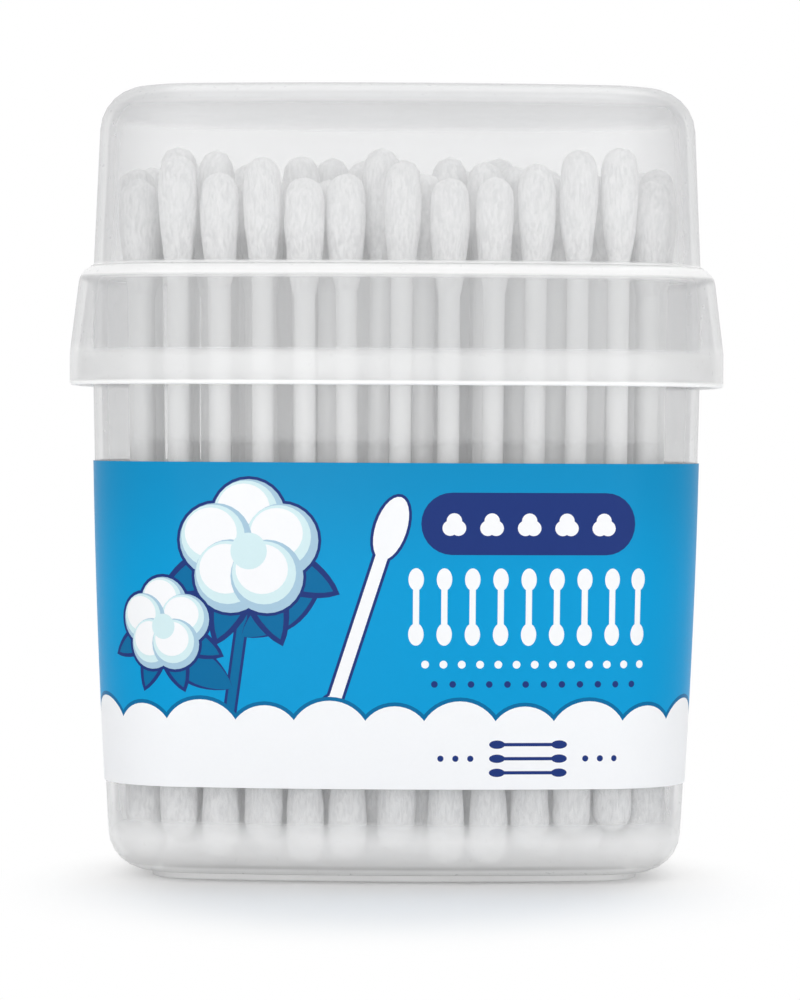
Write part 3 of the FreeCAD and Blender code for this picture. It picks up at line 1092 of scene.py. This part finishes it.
def rounded_panel(
    x: float, y: float, width: float, height: float, radius: float, steps: int = 6
) -> Points:
    """The outline of a rectangle with rounded corners.

    Args:
        x: Middle, along the film.
        y: Middle, up the film.
        width: Whole width.
        height: Whole height.
        radius: Radius of the corners.
        steps: Points in each corner.

    Returns:
        The outline's points.
    """
    points = []
    for quarter, (side, rise) in enumerate(((1, -1), (1, 1), (-1, 1), (-1, -1))):
        for step in range(steps + 1):
            bearing = math.pi / 2 * (quarter - 1 + step / steps)
            px = side * (width / 2 - radius) + radius * math.cos(bearing)
            py = rise * (height / 2 - radius) + radius * math.sin(bearing)
            points.append((x + px, y + py))
    return tuple(points)


def oval(
    x: float, y: float, across: float, up: float, turn: float = 0.0, steps: int = 28
) -> Points:
    """The outline of an ellipse.

    Args:
        x: Middle, along the film.
        y: Middle, up the film.
        across: Half width.
        up: Half height.
        turn: Degrees that it is turned anticlockwise.
        steps: Points in the outline.

    Returns:
        The outline's points.
    """
    bearings = [2 * math.pi * step / steps for step in range(steps)]
    return settle([(across * math.cos(b), up * math.sin(b)) for b in bearings], x, y, turn)


def dome(x: float, y: float, radius: float, steps: int = 22) -> Points:
    """The outline of the upper half of a circle.

    Args:
        x: Middle of the flat side, along the film.
        y: Height of the flat side.
        radius: The circle's radius.
        steps: Points in the round side.

    Returns:
        The outline's points.
    """
    bearings = [math.pi * step / steps for step in range(steps + 1)]
    return tuple((x + radius * math.cos(b), y + radius * math.sin(b)) for b in bearings)


def leaf(x: float, y: float, length: float, width: float, turn: float, steps: int = 12) -> Points:
    """The outline of a pointed leaf that starts at a point.

    Args:
        x: The stalk's end, along the film.
        y: The stalk's end, up the film.
        length: Stalk to point.
        width: Across the middle.
        turn: Degrees that it is turned anticlockwise from pointing to the right.
        steps: Points along each edge.

    Returns:
        The outline's points.
    """
    flat, swell = [], 0.8
    for side in (1, -1):
        for step in range(steps):
            share = step / steps if side == 1 else 1 - step / steps
            flat.append((length * share, side * width / 2 * math.sin(math.pi * share) ** swell))
    return settle(flat, x, y, turn)


@dataclass
class Print:
    """The picture on the film: a cotton sprig, a few swabs, bars and dots, and a scalloped foot."""

    length: float
    bottom: float
    top: float
    line: float = 0.32
    foot_rise: float = 4.9
    patches: list[Patch] = field(default_factory=list)

    def put(self, points: Points, ink: Ink) -> None:
        """Adds one shape on top of those before it, cut off at the film's edges.

        Args:
            points: The shape's outline.
            ink: The shape's ink.
        """
        kept = list(points)
        area = sum(a[0] * b[1] - a[1] * b[0] for a, b in zip(kept, kept[1:] + kept[:1]))
        if area < 0:
            kept.reverse()
        for level, inside in ((self.bottom, 1), (self.top, -1)):
            clipped = []
            for a, b in zip(kept, kept[1:] + kept[:1]):
                a_in, b_in = (a[1] - level) * inside >= 0, (b[1] - level) * inside >= 0
                if a_in:
                    clipped.append(a)
                if a_in != b_in:
                    share = (level - a[1]) / (b[1] - a[1])
                    clipped.append((a[0] + (b[0] - a[0]) * share, level))
            kept = clipped
        if len(kept) > 2:
            self.patches.append(Patch(tuple(kept), ink))

    def swab(
        self,
        x: float,
        y: float,
        length: float,
        turn: float,
        scale: float,
        ink: Ink,
        edge: Ink | None = None,
        plump: float = 1.9,
    ) -> None:
        """Draws a swab with cotton at both ends.

        Args:
            x: Middle of the swab, along the film.
            y: Middle of the swab, up the film.
            length: Tip to tip.
            turn: Degrees from lying flat, anticlockwise.
            scale: Half width of the cotton.
            ink: The swab's ink.
            edge: The outline's ink, or None for no outline.
            plump: Half length of the cotton, in half widths.
        """
        angle = math.radians(turn)
        reach, stick = length / 2 - scale * plump, scale * 0.8
        ends = [(x + s * reach * math.cos(angle), y + s * reach * math.sin(angle)) for s in (1, -1)]
        inks = [(edge, self.line)] if edge else []
        for color, rim in [*inks, (ink, 0.0)]:
            self.put(rounded_bar(x, y, 2 * reach, stick + 2 * rim, turn), color)
            for ex, ey in ends:
                self.put(oval(ex, ey, scale * plump + rim, scale + rim, turn), color)

    def puff(self, x: float, y: float, scale: float) -> None:
        """Draws a small white puff of cotton.

        Args:
            x: Middle, along the film.
            y: Middle, up the film.
            scale: Radius of one of its lobes.
        """
        reach = scale * 0.62
        for turn in (90, 210, 330):
            bearing = math.radians(turn)
            px, py = x + reach * math.cos(bearing), y + reach * math.sin(bearing)
            self.put(oval(px, py, scale, scale, steps=20), Ink.WHITE)

    def boll(self, x: float, y: float, scale: float) -> None:
        """Draws an open cotton boll with its leaves.

        Args:
            x: Middle, along the film.
            y: Middle, up the film.
            scale: Radius of one lobe of cotton.
        """
        for turn in (205, 250, 290, 335):
            self.put(leaf(x, y, scale * 2.75, scale * 1.15, turn), Ink.NAVY)
            self.put(leaf(x, y, scale * 2.55, scale * 0.85, turn), Ink.DEEP)
        lobes = [(90, 0.95), (18, 0.95), (162, 0.95), (234, 0.85), (306, 0.85)]
        spots = [
            (x + scale * reach * math.cos(math.radians(t)), y + scale * reach * math.sin(math.radians(t)))
            for t, reach in lobes
        ]
        for px, py in spots:
            self.put(oval(px, py, scale + self.line, scale + self.line), Ink.NAVY)
        for px, py in spots:
            self.put(oval(px, py, scale, scale), Ink.MIST)
            self.put(oval(px - scale * 0.08, py + scale * 0.1, scale * 0.88, scale * 0.86), Ink.FROST)
            self.put(oval(px - scale * 0.14, py + scale * 0.2, scale * 0.72, scale * 0.68), Ink.WHITE)
        self.put(oval(x, y, scale * 0.5, scale * 0.5), Ink.FROST)

    def scallops(self) -> None:
        """Draws the white scalloped foot of the film, with its blue edge, all the way round."""
        pair_width, large, small, edge = 13.6, 4.5, 3.95, 0.42
        count = 2 * round(self.length / pair_width)
        pitch = self.length / count
        spots = [((i - count / 2) * pitch, large if i % 2 else small) for i in range(count + 1)]
        base = self.bottom + self.foot_rise
        for ink, rim in ((Ink.DEEP, edge), (Ink.WHITE, 0.0)):
            for x, radius in spots:
                self.put(dome(x, base, radius + rim), ink)
        half = self.length / 2
        self.put(((-half, self.bottom), (half, self.bottom), (half, base), (-half, base)), Ink.WHITE)

    def front(self) -> None:
        """Draws the picture on the front."""
        self.put(rounded_bar(-17.0, 23.2, 20.0, 1.5, 82), Ink.NAVY)
        self.put(rounded_bar(-17.0, 23.2, 19.4, 0.9, 82), Ink.DEEP)
        for x, y, length, turn in ((-16.4, 26.5, 10.0, 35), (-17.3, 21.0, 9.0, 150)):
            self.put(leaf(x, y, length + 0.7, length * 0.46, turn), Ink.NAVY)
            self.put(leaf(x, y, length, length * 0.38, turn), Ink.DEEP)
        self.boll(-15.6, 35.6, 3.9)
        self.boll(-25.0, 27.5, 2.7)
        self.swab(-3.9, 27.6, 29.0, 72, 1.65, Ink.WHITE, Ink.NAVY, 2.1)
        self.put(rounded_bar(14.2, 38.6, 23.0, 6.6, steps=14), Ink.NAVY)
        for step in range(5):
            self.puff(6.2 + step * 4.0, 38.4, 0.82)
        for step in range(9):
            self.swab(2.2 + step * 3.0, 29.8, 8.2, 90, 0.82, Ink.WHITE, plump=1.45)
        for step in range(13):
            self.put(oval(3.2 + step * 1.95, 23.7, 0.42, 0.42, steps=14), Ink.WHITE)
        for step in range(12):
            self.put(oval(4.2 + step * 1.95, 21.6, 0.36, 0.36, steps=14), Ink.NAVY)

    def sides(self) -> None:
        """Draws the picture on the two sides and on the back."""
        for side in (1, -1):
            middle = side * self.length / 4
            self.swab(middle, 31.5, 19.0, 90, 1.5, Ink.WHITE, Ink.NAVY)
            for step in (-1, 1):
                self.swab(middle + step * 5.2, 31.5, 13.0, 90, 1.1, Ink.FROST, Ink.DEEP)
        at_back = self.length / 2 - 18.0
        self.boll(-at_back, 34.4, 3.6)
        for side in (-1, 1):
            self.swab(-at_back + side * 8.6, 31.0, 17.0, 90 - side * 9, 1.3, Ink.WHITE, Ink.NAVY)
        self.put(rounded_panel(at_back, 32.4, 28.6, 19.6, 2.8), Ink.NAVY)
        self.put(rounded_panel(at_back, 32.4, 28.0, 19.0, 2.5), Ink.FROST)
        for row, width in enumerate((22.0, 17.0, 22.0, 20.0, 12.0)):
            left = at_back - 11.0
            self.put(rounded_bar(left + width / 2, 38.6 - row * 3.1, width, 0.9), Ink.DEEP)

    def small_mark(self) -> None:
        """Draws three small swabs and dots on the front of the scalloped foot."""
        for step in range(3):
            self.swab(14.3, 12.2 + step * 1.5, 8.4, 0, 0.45, Ink.NAVY)
        for side in (-1, 1):
            for step in range(3):
                self.put(oval(14.3 + side * (6.2 + step * 1.6), 13.7, 0.34, 0.34, steps=12), Ink.NAVY)

    def draw(self) -> list[Patch]:
        """Draws everything.

        Returns:
            The shapes, from the lowest layer to the highest.
        """
        self.front()
        self.sides()
        self.scallops()
        self.small_mark()
        return self.patches


@dataclass
class FilmBand:
    """The printed film, one closed band tight round the tub.

    The flat picture is cut into faces along its printed edges and then laid on the tub's wall.
    The wall's slope is read over slope_step either way. A face that agrees with the wall by less
    than least_agree belongs to a cut edge and is shaded flat.
    """

    outline: Outline
    tub: Tub
    bottom: float = 10.4
    top: float = 45.0
    glue: float = 0.05
    film: float = 0.12
    rows: int = 9
    slope_step: float = 0.5
    end_gap: float = 0.2
    cut_reach: float = 1e-5
    weld: float = 0.003
    least_agree: float = 0.7

    def spot(self, around: np.ndarray, height: np.ndarray, lift: float) -> tuple[np.ndarray, np.ndarray]:
        """Where points of the flat film come to lie.

        Args:
            around: Distances from the middle of the front.
            height: Heights above the floor.
            lift: How far the points stand off the tub's wall.

        Returns:
            Points in metres and their outward directions.
        """
        plan, out = self.outline.at(around)
        reach = (self.tub.wall_out(height) + lift)[:, None]
        flat = plan + out * reach
        step = self.slope_step
        rise = (self.tub.wall_out(height + step) - self.tub.wall_out(height - step))[:, None]
        points = np.concatenate([flat, height[:, None]], axis=1) * MM
        normals = np.concatenate([out, -rise / (2 * step)], axis=1)
        return points, normals / np.linalg.norm(normals, axis=1, keepdims=True)

    def cut(self, patches: Sequence[Patch]) -> tuple[np.ndarray, list[tuple[int, ...]], list[Ink]]:
        """Cuts the flat film along every printed edge.

        Args:
            patches: The printed shapes, lowest first.

        Returns:
            Flat points, faces, and each face's ink.
        """
        stops = self.outline.stops()
        half = self.outline.length() / 2
        inner = stops[np.abs(stops) < half - self.end_gap]
        columns = np.concatenate([[-half], inner, [half]])
        levels = np.linspace(self.bottom, self.top, self.rows)
        points, edges, faces = [], [], []
        for x in columns:
            points += [Vector((x, self.bottom)), Vector((x, self.top))]
            edges.append((len(points) - 2, len(points) - 1))
        for y in levels:
            points += [Vector((-half, y)), Vector((half, y))]
            edges.append((len(points) - 2, len(points) - 1))
        for patch in patches:
            start = len(points)
            points += [Vector((min(max(x, -half), half), y)) for x, y in patch.points]
            faces.append(list(range(start, len(points))))
        all_triangles = 0
        made = delaunay_2d_cdt(points, edges, faces, all_triangles, self.cut_reach)
        out_points, _, out_faces, _, _, owners = made
        inks = [patches[max(o)].ink if o else Ink.SKY for o in owners]
        return np.array([tuple(p) for p in out_points]), [tuple(f) for f in out_faces], inks

    def lining(self, start: int) -> tuple[np.ndarray, np.ndarray, list[tuple[int, ...]]]:
        """Makes the band's unprinted inner side and its two cut edges.

        Args:
            start: The number of points that the printed side has.

        Returns:
            Points in metres, their outward directions, and faces.
        """
        stops, outer = self.outline.stops(), self.glue + self.film
        heights = np.linspace(self.bottom, self.top, self.rows)
        levels = [(self.bottom, outer), *[(h, self.glue) for h in heights], (self.top, outer)]
        count = len(stops)
        loops = [self.spot(stops, np.full(count, height), lift) for height, lift in levels]
        faces = []
        for row in range(len(loops) - 1):
            for column in range(count):
                after = (column + 1) % count
                low, high = start + row * count, start + (row + 1) * count
                faces.append((low + column, high + column, high + after, low + after))
        points, normals = zip(*loops)
        return np.concatenate(points), np.concatenate(normals), faces

    def round_off(self, mesh: bpy.types.Mesh) -> None:
        """Shades the film as the smooth surface that it lies on, whatever its triangles.

        Args:
            mesh: The film, with the way out of the tub stored on its points.
        """
        mesh.polygons.foreach_set("use_smooth", [True] * len(mesh.polygons))
        corner_point = np.zeros(len(mesh.loops), int)
        mesh.loops.foreach_get("vertex_index", corner_point)
        outward = np.zeros(len(mesh.vertices) * 3)
        mesh.attributes["outward"].data.foreach_get("vector", outward)
        smooth = outward.reshape(-1, 3)[corner_point]
        flat = np.zeros(len(mesh.polygons) * 3)
        mesh.polygons.foreach_get("normal", flat)
        sizes = np.zeros(len(mesh.polygons), int)
        mesh.polygons.foreach_get("loop_total", sizes)
        flat = np.repeat(flat.reshape(-1, 3), sizes, axis=0)
        agree = (smooth * flat).sum(axis=1, keepdims=True)
        shaded = np.where(np.abs(agree) > self.least_agree, smooth * np.sign(agree), flat)
        mesh.normals_split_custom_set(shaded.tolist())
        mesh.attributes.remove(mesh.attributes["outward"])

    def build(self, finishes: Finishes) -> bpy.types.Object:
        """Makes the printed band and fixes it to the tub's body.

        Args:
            finishes: The pack's finishes.

        Returns:
            The finished piece.
        """
        patches = Print(self.outline.length(), self.bottom, self.top).draw()
        flat, faces, inks = self.cut(patches)
        points, normals = self.spot(flat[:, 0], flat[:, 1], self.glue + self.film)
        more_points, more_normals, lining = self.lining(len(points))
        mesh = bpy.data.meshes.new("film_band")
        mesh.from_pydata(np.concatenate([points, more_points]).tolist(), [], faces + lining)
        order = list(Ink)
        for ink in order:
            mesh.materials.append(finishes.inks[ink])
        white = [order.index(Ink.WHITE)] * len(lining)
        mesh.polygons.foreach_set("material_index", [order.index(i) for i in inks] + white)
        outward = mesh.attributes.new("outward", "FLOAT_VECTOR", "POINT")
        directions = np.concatenate([normals, more_normals]).astype(np.float32)
        outward.data.foreach_set("vector", directions.ravel())
        work = bmesh.new()
        work.from_mesh(mesh)
        bmesh.ops.remove_doubles(work, verts=work.verts, dist=self.weld * MM)
        bmesh.ops.recalc_face_normals(work, faces=work.faces)
        work.to_mesh(mesh)
        work.free()
        self.round_off(mesh)
        piece = linked("film_band", mesh)
        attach(piece, "tub")
        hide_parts("label")
        LOG.info("film band: %d faces in %d inks", len(mesh.polygons), len(order))
        return piece


class SwabEnd(Enum):
    """Which part of every swab a piece holds."""

    STICK = "sticks"
    TOP = "top_tips"
    BOTTOM = "bottom_tips"


def stick_ends(
    node: bpy.types.Object, weld: float = 0.001, end_reach: float = 0.3
) -> list[tuple[Vector, Vector]]:
    """Finds each stick of a CAD node and the two ends of its axis.

    Args:
        node: A CAD node that holds sticks.
        weld: Points closer than this, in millimetres, become one.
        end_reach: How far from an end, in millimetres, its points may lie.

    Returns:
        The lower and the upper end of each stick, in metres.
    """
    work = bmesh.new()
    work.from_mesh(node.data)
    bmesh.ops.remove_doubles(work, verts=work.verts, dist=weld * MM)
    work.verts.ensure_lookup_table()
    seen: set[int] = set()
    found = []
    for first in work.verts:
        if first.index in seen:
            continue
        seen.add(first.index)
        group, edge = [first], [first]
        while edge:
            for link in edge.pop().link_edges:
                for vert in link.verts:
                    if vert.index not in seen:
                        seen.add(vert.index)
                        group.append(vert)
                        edge.append(vert)
        places = np.array([v.co for v in group])
        level = places[:, 2]
        low = places[level < level.min() + end_reach * MM].mean(axis=0)
        high = places[level > level.max() - end_reach * MM].mean(axis=0)
        found.append((Vector(low), Vector(high)))
    work.free()
    return found


def swab_tree(end: SwabEnd, shape: Points) -> bpy.types.NodeTree:
    """A tree that stands one part of a swab on every point, along the point's own axis.

    Args:
        end: The part that the tree makes.
        shape: The part's half width at shares of its length, as shares of its radius.

    Returns:
        The tree, with inputs for the part's sizes, its faces, its lumps and its material.
    """
    number, whole = "NodeSocketFloat", "NodeSocketInt"
    ease, lump_middle, least_plump = 1.6, 0.62, 0.94
    tree, wires, entry, leave = geometry_tree(
        f"swab_{end.value}",
        [
            ("Length", number, 0.0125),
            ("Radius", number, 0.0022),
            ("Rings", whole, 10),
            ("Sides", whole, 12),
            ("Lump Height", number, 0.0),
            ("Lump Scale", number, 300.0),
            ("Seed", whole, 4),
            ("Material", "NodeSocketMaterial", None),
        ],
    )
    line = wires.add(
        "GeometryNodeMeshLine", {"mode": "OFFSET", "count_mode": "TOTAL"}, Count=entry.outputs["Rings"]
    )
    index = wires.add("GeometryNodeInputIndex").outputs[0]
    last = wires.math("SUBTRACT", entry.outputs["Rings"], 1.0)
    share = wires.math("DIVIDE", index, last)
    rest = wires.math("POWER", wires.math("SUBTRACT", 1.0, share), ease)
    eased = wires.math("SUBTRACT", 1.0, rest) if end is not SwabEnd.STICK else share
    height = wires.math("MULTIPLY", eased, entry.outputs["Length"])
    spot = wires.add("ShaderNodeCombineXYZ", Z=height).outputs[0]
    placed = wires.add("GeometryNodeSetPosition", Geometry=line.outputs[0], Position=spot)
    form = tree.nodes.new("ShaderNodeFloatCurve")
    curve = form.mapping.curves[0]
    curve.points[0].location, curve.points[-1].location = shape[0], shape[-1]
    for point in shape[1:-1]:
        curve.points.new(*point)
    form.mapping.update()
    wires.feed(form.inputs["Value"], eased)
    width = wires.math("MULTIPLY", form.outputs[0], entry.outputs["Radius"])
    named = wires.add(
        "GeometryNodeStoreNamedAttribute",
        {"data_type": "FLOAT", "domain": "POINT"},
        Geometry=placed.outputs[0],
        Name="half_width",
        Value=width,
    )
    core = wires.add("GeometryNodeMeshToCurve", Mesh=named.outputs[0])
    kept = wires.add("GeometryNodeInputNamedAttribute", {"data_type": "FLOAT"}, Name="half_width")
    loop = wires.add("GeometryNodeCurvePrimitiveCircle", Resolution=entry.outputs["Sides"], Radius=1.0)
    body = wires.add(
        "GeometryNodeCurveToMesh",
        Curve=core.outputs[0],
        Profile_Curve=loop.outputs[0],
        Scale=kept.outputs[0],
        Fill_Caps=True,
    )
    axis = wires.add("GeometryNodeInputNamedAttribute", {"data_type": "FLOAT_VECTOR"}, Name="axis")
    turn = wires.add("FunctionNodeAlignRotationToVector", {"axis": "Z"}, Vector=axis.outputs[0])
    size = wires.add(
        "FunctionNodeRandomValue",
        {"data_type": "FLOAT"},
        Min=least_plump,
        Max=1.0,
        Seed=entry.outputs["Seed"],
    )
    plump = wires.add("ShaderNodeCombineXYZ", X=size.outputs[1], Y=size.outputs[1], Z=1.0)
    stood = wires.add(
        "GeometryNodeInstanceOnPoints",
        Points=entry.outputs["Geometry"],
        Instance=body.outputs[0],
        Rotation=turn.outputs[0],
        Scale=plump.outputs[0] if end is not SwabEnd.STICK else (1.0, 1.0, 1.0),
    )
    real = wires.add("GeometryNodeRealizeInstances", Geometry=stood.outputs[0])
    where = wires.add("GeometryNodeInputPosition").outputs[0]
    noise = wires.add(
        "ShaderNodeTexNoise",
        {"noise_dimensions": "4D"},
        Vector=where,
        W=entry.outputs["Seed"],
        Scale=entry.outputs["Lump Scale"],
        Detail=1.5,
    )
    lump = wires.math("SUBTRACT", noise.outputs[0], lump_middle)
    outward = wires.add("GeometryNodeInputNormal").outputs[0]
    shift = wires.add("ShaderNodeVectorMath", {"operation": "SCALE"}, Vector=outward)
    wires.feed(wires.find(shift, "Scale"), wires.math("MULTIPLY", lump, entry.outputs["Lump Height"]))
    uneven = wires.add("GeometryNodeSetPosition", Geometry=real.outputs[0], Offset=shift.outputs[0])
    smooth = wires.add("GeometryNodeSetShadeSmooth", Geometry=uneven.outputs[0])
    dressed = wires.add(
        "GeometryNodeSetMaterial", Geometry=smooth.outputs[0], Material=entry.outputs["Material"]
    )
    wires.feed(leave.inputs[0], dressed.outputs[0])
    return tree


@dataclass
class Swabs:
    """All the swabs, each on the axis of its stick in the CAD model.

    The outer ring shows at the tub's wall. outer_faces and inner_faces are the rings and the
    sides of a tip there and further in, and tip_seeds are for the top and for the bottom.
    """

    stick_radius: float = 1.15
    tip_radius: float = 2.2
    tip_length: float = 12.5
    tip_cap: float = 1.6
    lump_height: float = 0.55
    lump_scale: float = 330.0
    outer_ring: str = "ring_1"
    outer_faces: tuple[int, int] = (12, 14)
    inner_faces: tuple[int, int] = (9, 11)
    tip_seeds: tuple[int, int] = (3, 8)
    tip_shape: Points = (
        (0.0, 0.56),
        (0.08, 0.68),
        (0.3, 0.86),
        (0.52, 0.97),
        (0.7, 1.0),
        (0.84, 0.95),
        (0.92, 0.8),
        (0.972, 0.52),
        (1.0, 0.06),
    )

    def anchors(
        self, sticks: Sequence[tuple[Vector, Vector]], end: SwabEnd, name: str
    ) -> bpy.types.Object:
        """Points at which one part of each swab starts, with the way that it points.

        Args:
            sticks: The ends of each stick.
            end: The part to place.
            name: The name of the object that holds the points.

        Returns:
            The object, with an axis on each point.
        """
        starts, axes = [], []
        inner = (self.tip_length - self.tip_cap) * MM
        for low, high in sticks:
            up = (high - low).normalized()
            start = {
                SwabEnd.STICK: low,
                SwabEnd.TOP: high - up * inner,
                SwabEnd.BOTTOM: low + up * inner,
            }[end]
            starts.append(tuple(start))
            axes.append(tuple(-up if end is SwabEnd.BOTTOM else up))
        mesh = bpy.data.meshes.new(name)
        mesh.from_pydata(starts, [], [])
        axis = mesh.attributes.new("axis", "FLOAT_VECTOR", "POINT")
        axis.data.foreach_set("vector", np.array(axes, np.float32).ravel())
        return linked(name, mesh)

    def make(
        self,
        end: SwabEnd,
        nodes: Sequence[str],
        tree: bpy.types.NodeTree,
        name: str,
        finishes: Finishes,
    ) -> bpy.types.Object:
        """Makes one part of the swabs that some CAD nodes hold.

        Args:
            end: The part to make.
            nodes: Names of the rings of swabs.
            tree: The part's geometry tree.
            name: The new piece's name.
            finishes: The pack's finishes.

        Returns:
            The finished piece.
        """
        sticks = []
        for ring in nodes:
            sticks += stick_ends(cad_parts[f"{ring}_{SwabEnd.STICK.value}"])
        low, high = sticks[0]
        is_stick = end is SwabEnd.STICK
        rings, sides = self.outer_faces if self.outer_ring in nodes else self.inner_faces
        values = {
            "Length": (high - low).length if is_stick else self.tip_length * MM,
            "Radius": (self.stick_radius if is_stick else self.tip_radius) * MM,
            "Rings": 2 if is_stick else rings,
            "Sides": sides,
            "Lump Height": 0.0 if is_stick else self.lump_height * MM,
            "Lump Scale": self.lump_scale,
            "Seed": self.tip_seeds[0 if end is SwabEnd.TOP else 1],
            "Material": finishes.stick if is_stick else finishes.cotton,
        }
        piece = grow(self.anchors(sticks, end, f"{name}_points"), tree, values, name)
        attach(piece, "tub")
        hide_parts(*[f"{ring}_{end.value}" for ring in nodes])
        LOG.info("%s: %d of them, %d faces", name, len(sticks), len(piece.data.polygons))
        return piece

    def build(self, finishes: Finishes) -> list[bpy.types.Object]:
        """Makes the sticks and the tips.

        Args:
            finishes: The pack's finishes.

        Returns:
            The finished pieces.
        """
        suffix = f"_{SwabEnd.STICK.value}"
        rings = sorted(n[: -len(suffix)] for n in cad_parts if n.endswith(suffix))
        inner = [r for r in rings if r != self.outer_ring]
        pieces = []
        for end in SwabEnd:
            shape = ((0.0, 1.0), (1.0, 1.0)) if end is SwabEnd.STICK else self.tip_shape
            tree = swab_tree(end, shape)
            for where, nodes in (("outer", [self.outer_ring]), ("inner", inner)):
                pieces.append(self.make(end, nodes, tree, f"{where}_{end.value}", finishes))
        return pieces


@dataclass(frozen=True)
class Lamp:
    """A soft square lamp."""

    name: str
    place: tuple[float, float, float]
    aim: tuple[float, float, float]
    side: float
    power: float

    def light(self) -> bpy.types.Object:
        """Hangs the lamp.

        Returns:
            The lamp's object.
        """
        data = bpy.data.lights.new(self.name, "AREA")
        data.shape = "SQUARE"
        data.size = self.side
        data.energy = self.power
        lamp = linked(self.name, data)
        lamp.location = self.place
        away = Vector(self.aim) - Vector(self.place)
        lamp.rotation_euler = away.to_track_quat("-Z", "Y").to_euler()
        return lamp


@dataclass
class Studio:
    """A white room: pale floor, soft lamps and the camera.

    The floor shows its shadow inside an oval, set by shadow_shift and shadow_scale.
    """

    sky_strength: float = 0.55
    floor_size: float = 3.0
    floor_tone: float = 0.96
    shadow_shift: tuple[float, float, float] = (0.0, 0.34, 0.0)
    shadow_scale: tuple[float, float, float] = (23.0, 17.0, 1.0)
    fade_from: float = 0.45
    distance: float = 0.45
    aim_height: float = 0.0407
    tilt: float = 1.0
    roll: float = -0.3
    lens: float = 146.0
    side_step: float = 0.0004

    def world(self) -> None:
        """Lights the scene evenly, and shows plain white to the camera and in reflections."""
        world = bpy.data.worlds.new("white_room")
        bpy.context.scene.world = world
        world.use_nodes = True
        world.node_tree.nodes.clear()
        wires = Wiring(world.node_tree)
        path = wires.add("ShaderNodeLightPath")
        seen = wires.math("MAXIMUM", path.outputs["Is Camera Ray"], path.outputs["Is Transmission Ray"])
        seen = wires.math("MAXIMUM", seen, path.outputs["Is Glossy Ray"])
        dim = wires.add("ShaderNodeBackground", Color=(1.0, 1.0, 1.0), Strength=self.sky_strength)
        white = wires.add("ShaderNodeBackground", Color=(1.0, 1.0, 1.0), Strength=1.0)
        mixed = wires.add("ShaderNodeMixShader")
        wires.feed(mixed.inputs[0], seen)
        wires.feed(mixed.inputs[1], dim.outputs[0])
        wires.feed(mixed.inputs[2], white.outputs[0])
        exit_node = wires.add("ShaderNodeOutputWorld")
        wires.feed(exit_node.inputs["Surface"], mixed.outputs[0])

    def floor(self) -> None:
        """Lays the floor, whose far part shows as plain white, and whose near part keeps the shadow."""
        mesh = bpy.data.meshes.new("floor")
        half = self.floor_size / 2
        corners = [(x * half, y * half, 0) for x, y in ((-1, -1), (1, -1), (1, 1), (-1, 1))]
        mesh.from_pydata(corners, [], [(0, 1, 2, 3)])
        floor = linked("floor", mesh)
        material, wires, shader = new_material("floor_white")
        path = wires.add("ShaderNodeLightPath")
        seen = wires.math("MAXIMUM", path.outputs["Is Camera Ray"], path.outputs["Is Transmission Ray"])
        lit = wires.blend(seen, (self.floor_tone,) * 3, (1.0, 1.0, 1.0))
        shift, scale = self.shadow_shift, self.shadow_scale
        near = wires.add("ShaderNodeMapping", Vector=wires.place(), Location=shift, Scale=scale)
        away = wires.add("ShaderNodeVectorMath", {"operation": "LENGTH"}, Vector=near.outputs[0])
        fade = wires.ramp(away.outputs["Value"], self.fade_from, 1.0)
        plain = wires.math("MULTIPLY", fade, seen)
        wires.feed(shader.inputs["Base Color"], wires.blend(plain, lit, (0.0, 0.0, 0.0)))
        wires.feed(shader.inputs["Emission Strength"], plain)
        shader.inputs["Emission Color"].default_value = (1.0, 1.0, 1.0, 1.0)
        shader.inputs["Roughness"].default_value = 1.0
        shader.inputs["Specular IOR Level"].default_value = 0.0
        mesh.materials.append(material)

    def camera(self) -> None:
        """Sets the camera straight in front, a little above the middle of the pack."""
        data = bpy.data.cameras.new("camera")
        data.lens = self.lens
        data.clip_start, data.clip_end = 0.01, 10.0
        camera = linked("camera", data)
        down = math.radians(self.tilt)
        rise = self.distance * math.tan(down)
        camera.location = (self.side_step, -self.distance, self.aim_height + rise)
        camera.rotation_euler = (math.pi / 2 - down, math.radians(self.roll), 0.0)
        bpy.context.scene.camera = camera

    def build(self) -> None:
        """Sets up the whole room."""
        self.world()
        self.floor()
        lamps = [
            Lamp("key", (-0.55, -0.6, 0.75), (0, 0, 0.04), 0.6, 1.8),
            Lamp("fill", (0.5, -0.7, 0.12), (0, 0, 0.02), 0.5, 1.6),
            Lamp("top", (0.05, 0.3, 0.8), (0, 0, 0.04), 0.6, 3.2),
            Lamp("low", (-0.12, -0.6, 0.06), (0, 0, 0.0), 0.12, 0.42),
        ]
        for lamp in lamps:
            lamp.light()
        self.camera()
        bpy.context.scene.view_settings.view_transform = "Standard"


def main() -> None:
    """Builds the pack, the room and the camera."""
    logging.basicConfig(level=logging.INFO, format="%(name)s %(message)s")
    finishes = Finishes()
    outline = Outline()
    shell = Shell(outline, wall_tree())
    tub = Tub()
    for piece in (
        tub.build(shell, finishes),
        Lid().build(shell, finishes),
        FilmBand(outline, tub).build(finishes),
        *Swabs().build(finishes),
    ):
        LOG.info("built %s with %d faces", piece.name, len(piece.data.polygons))
    Studio().build()


if __name__ == "__main__":
    main()
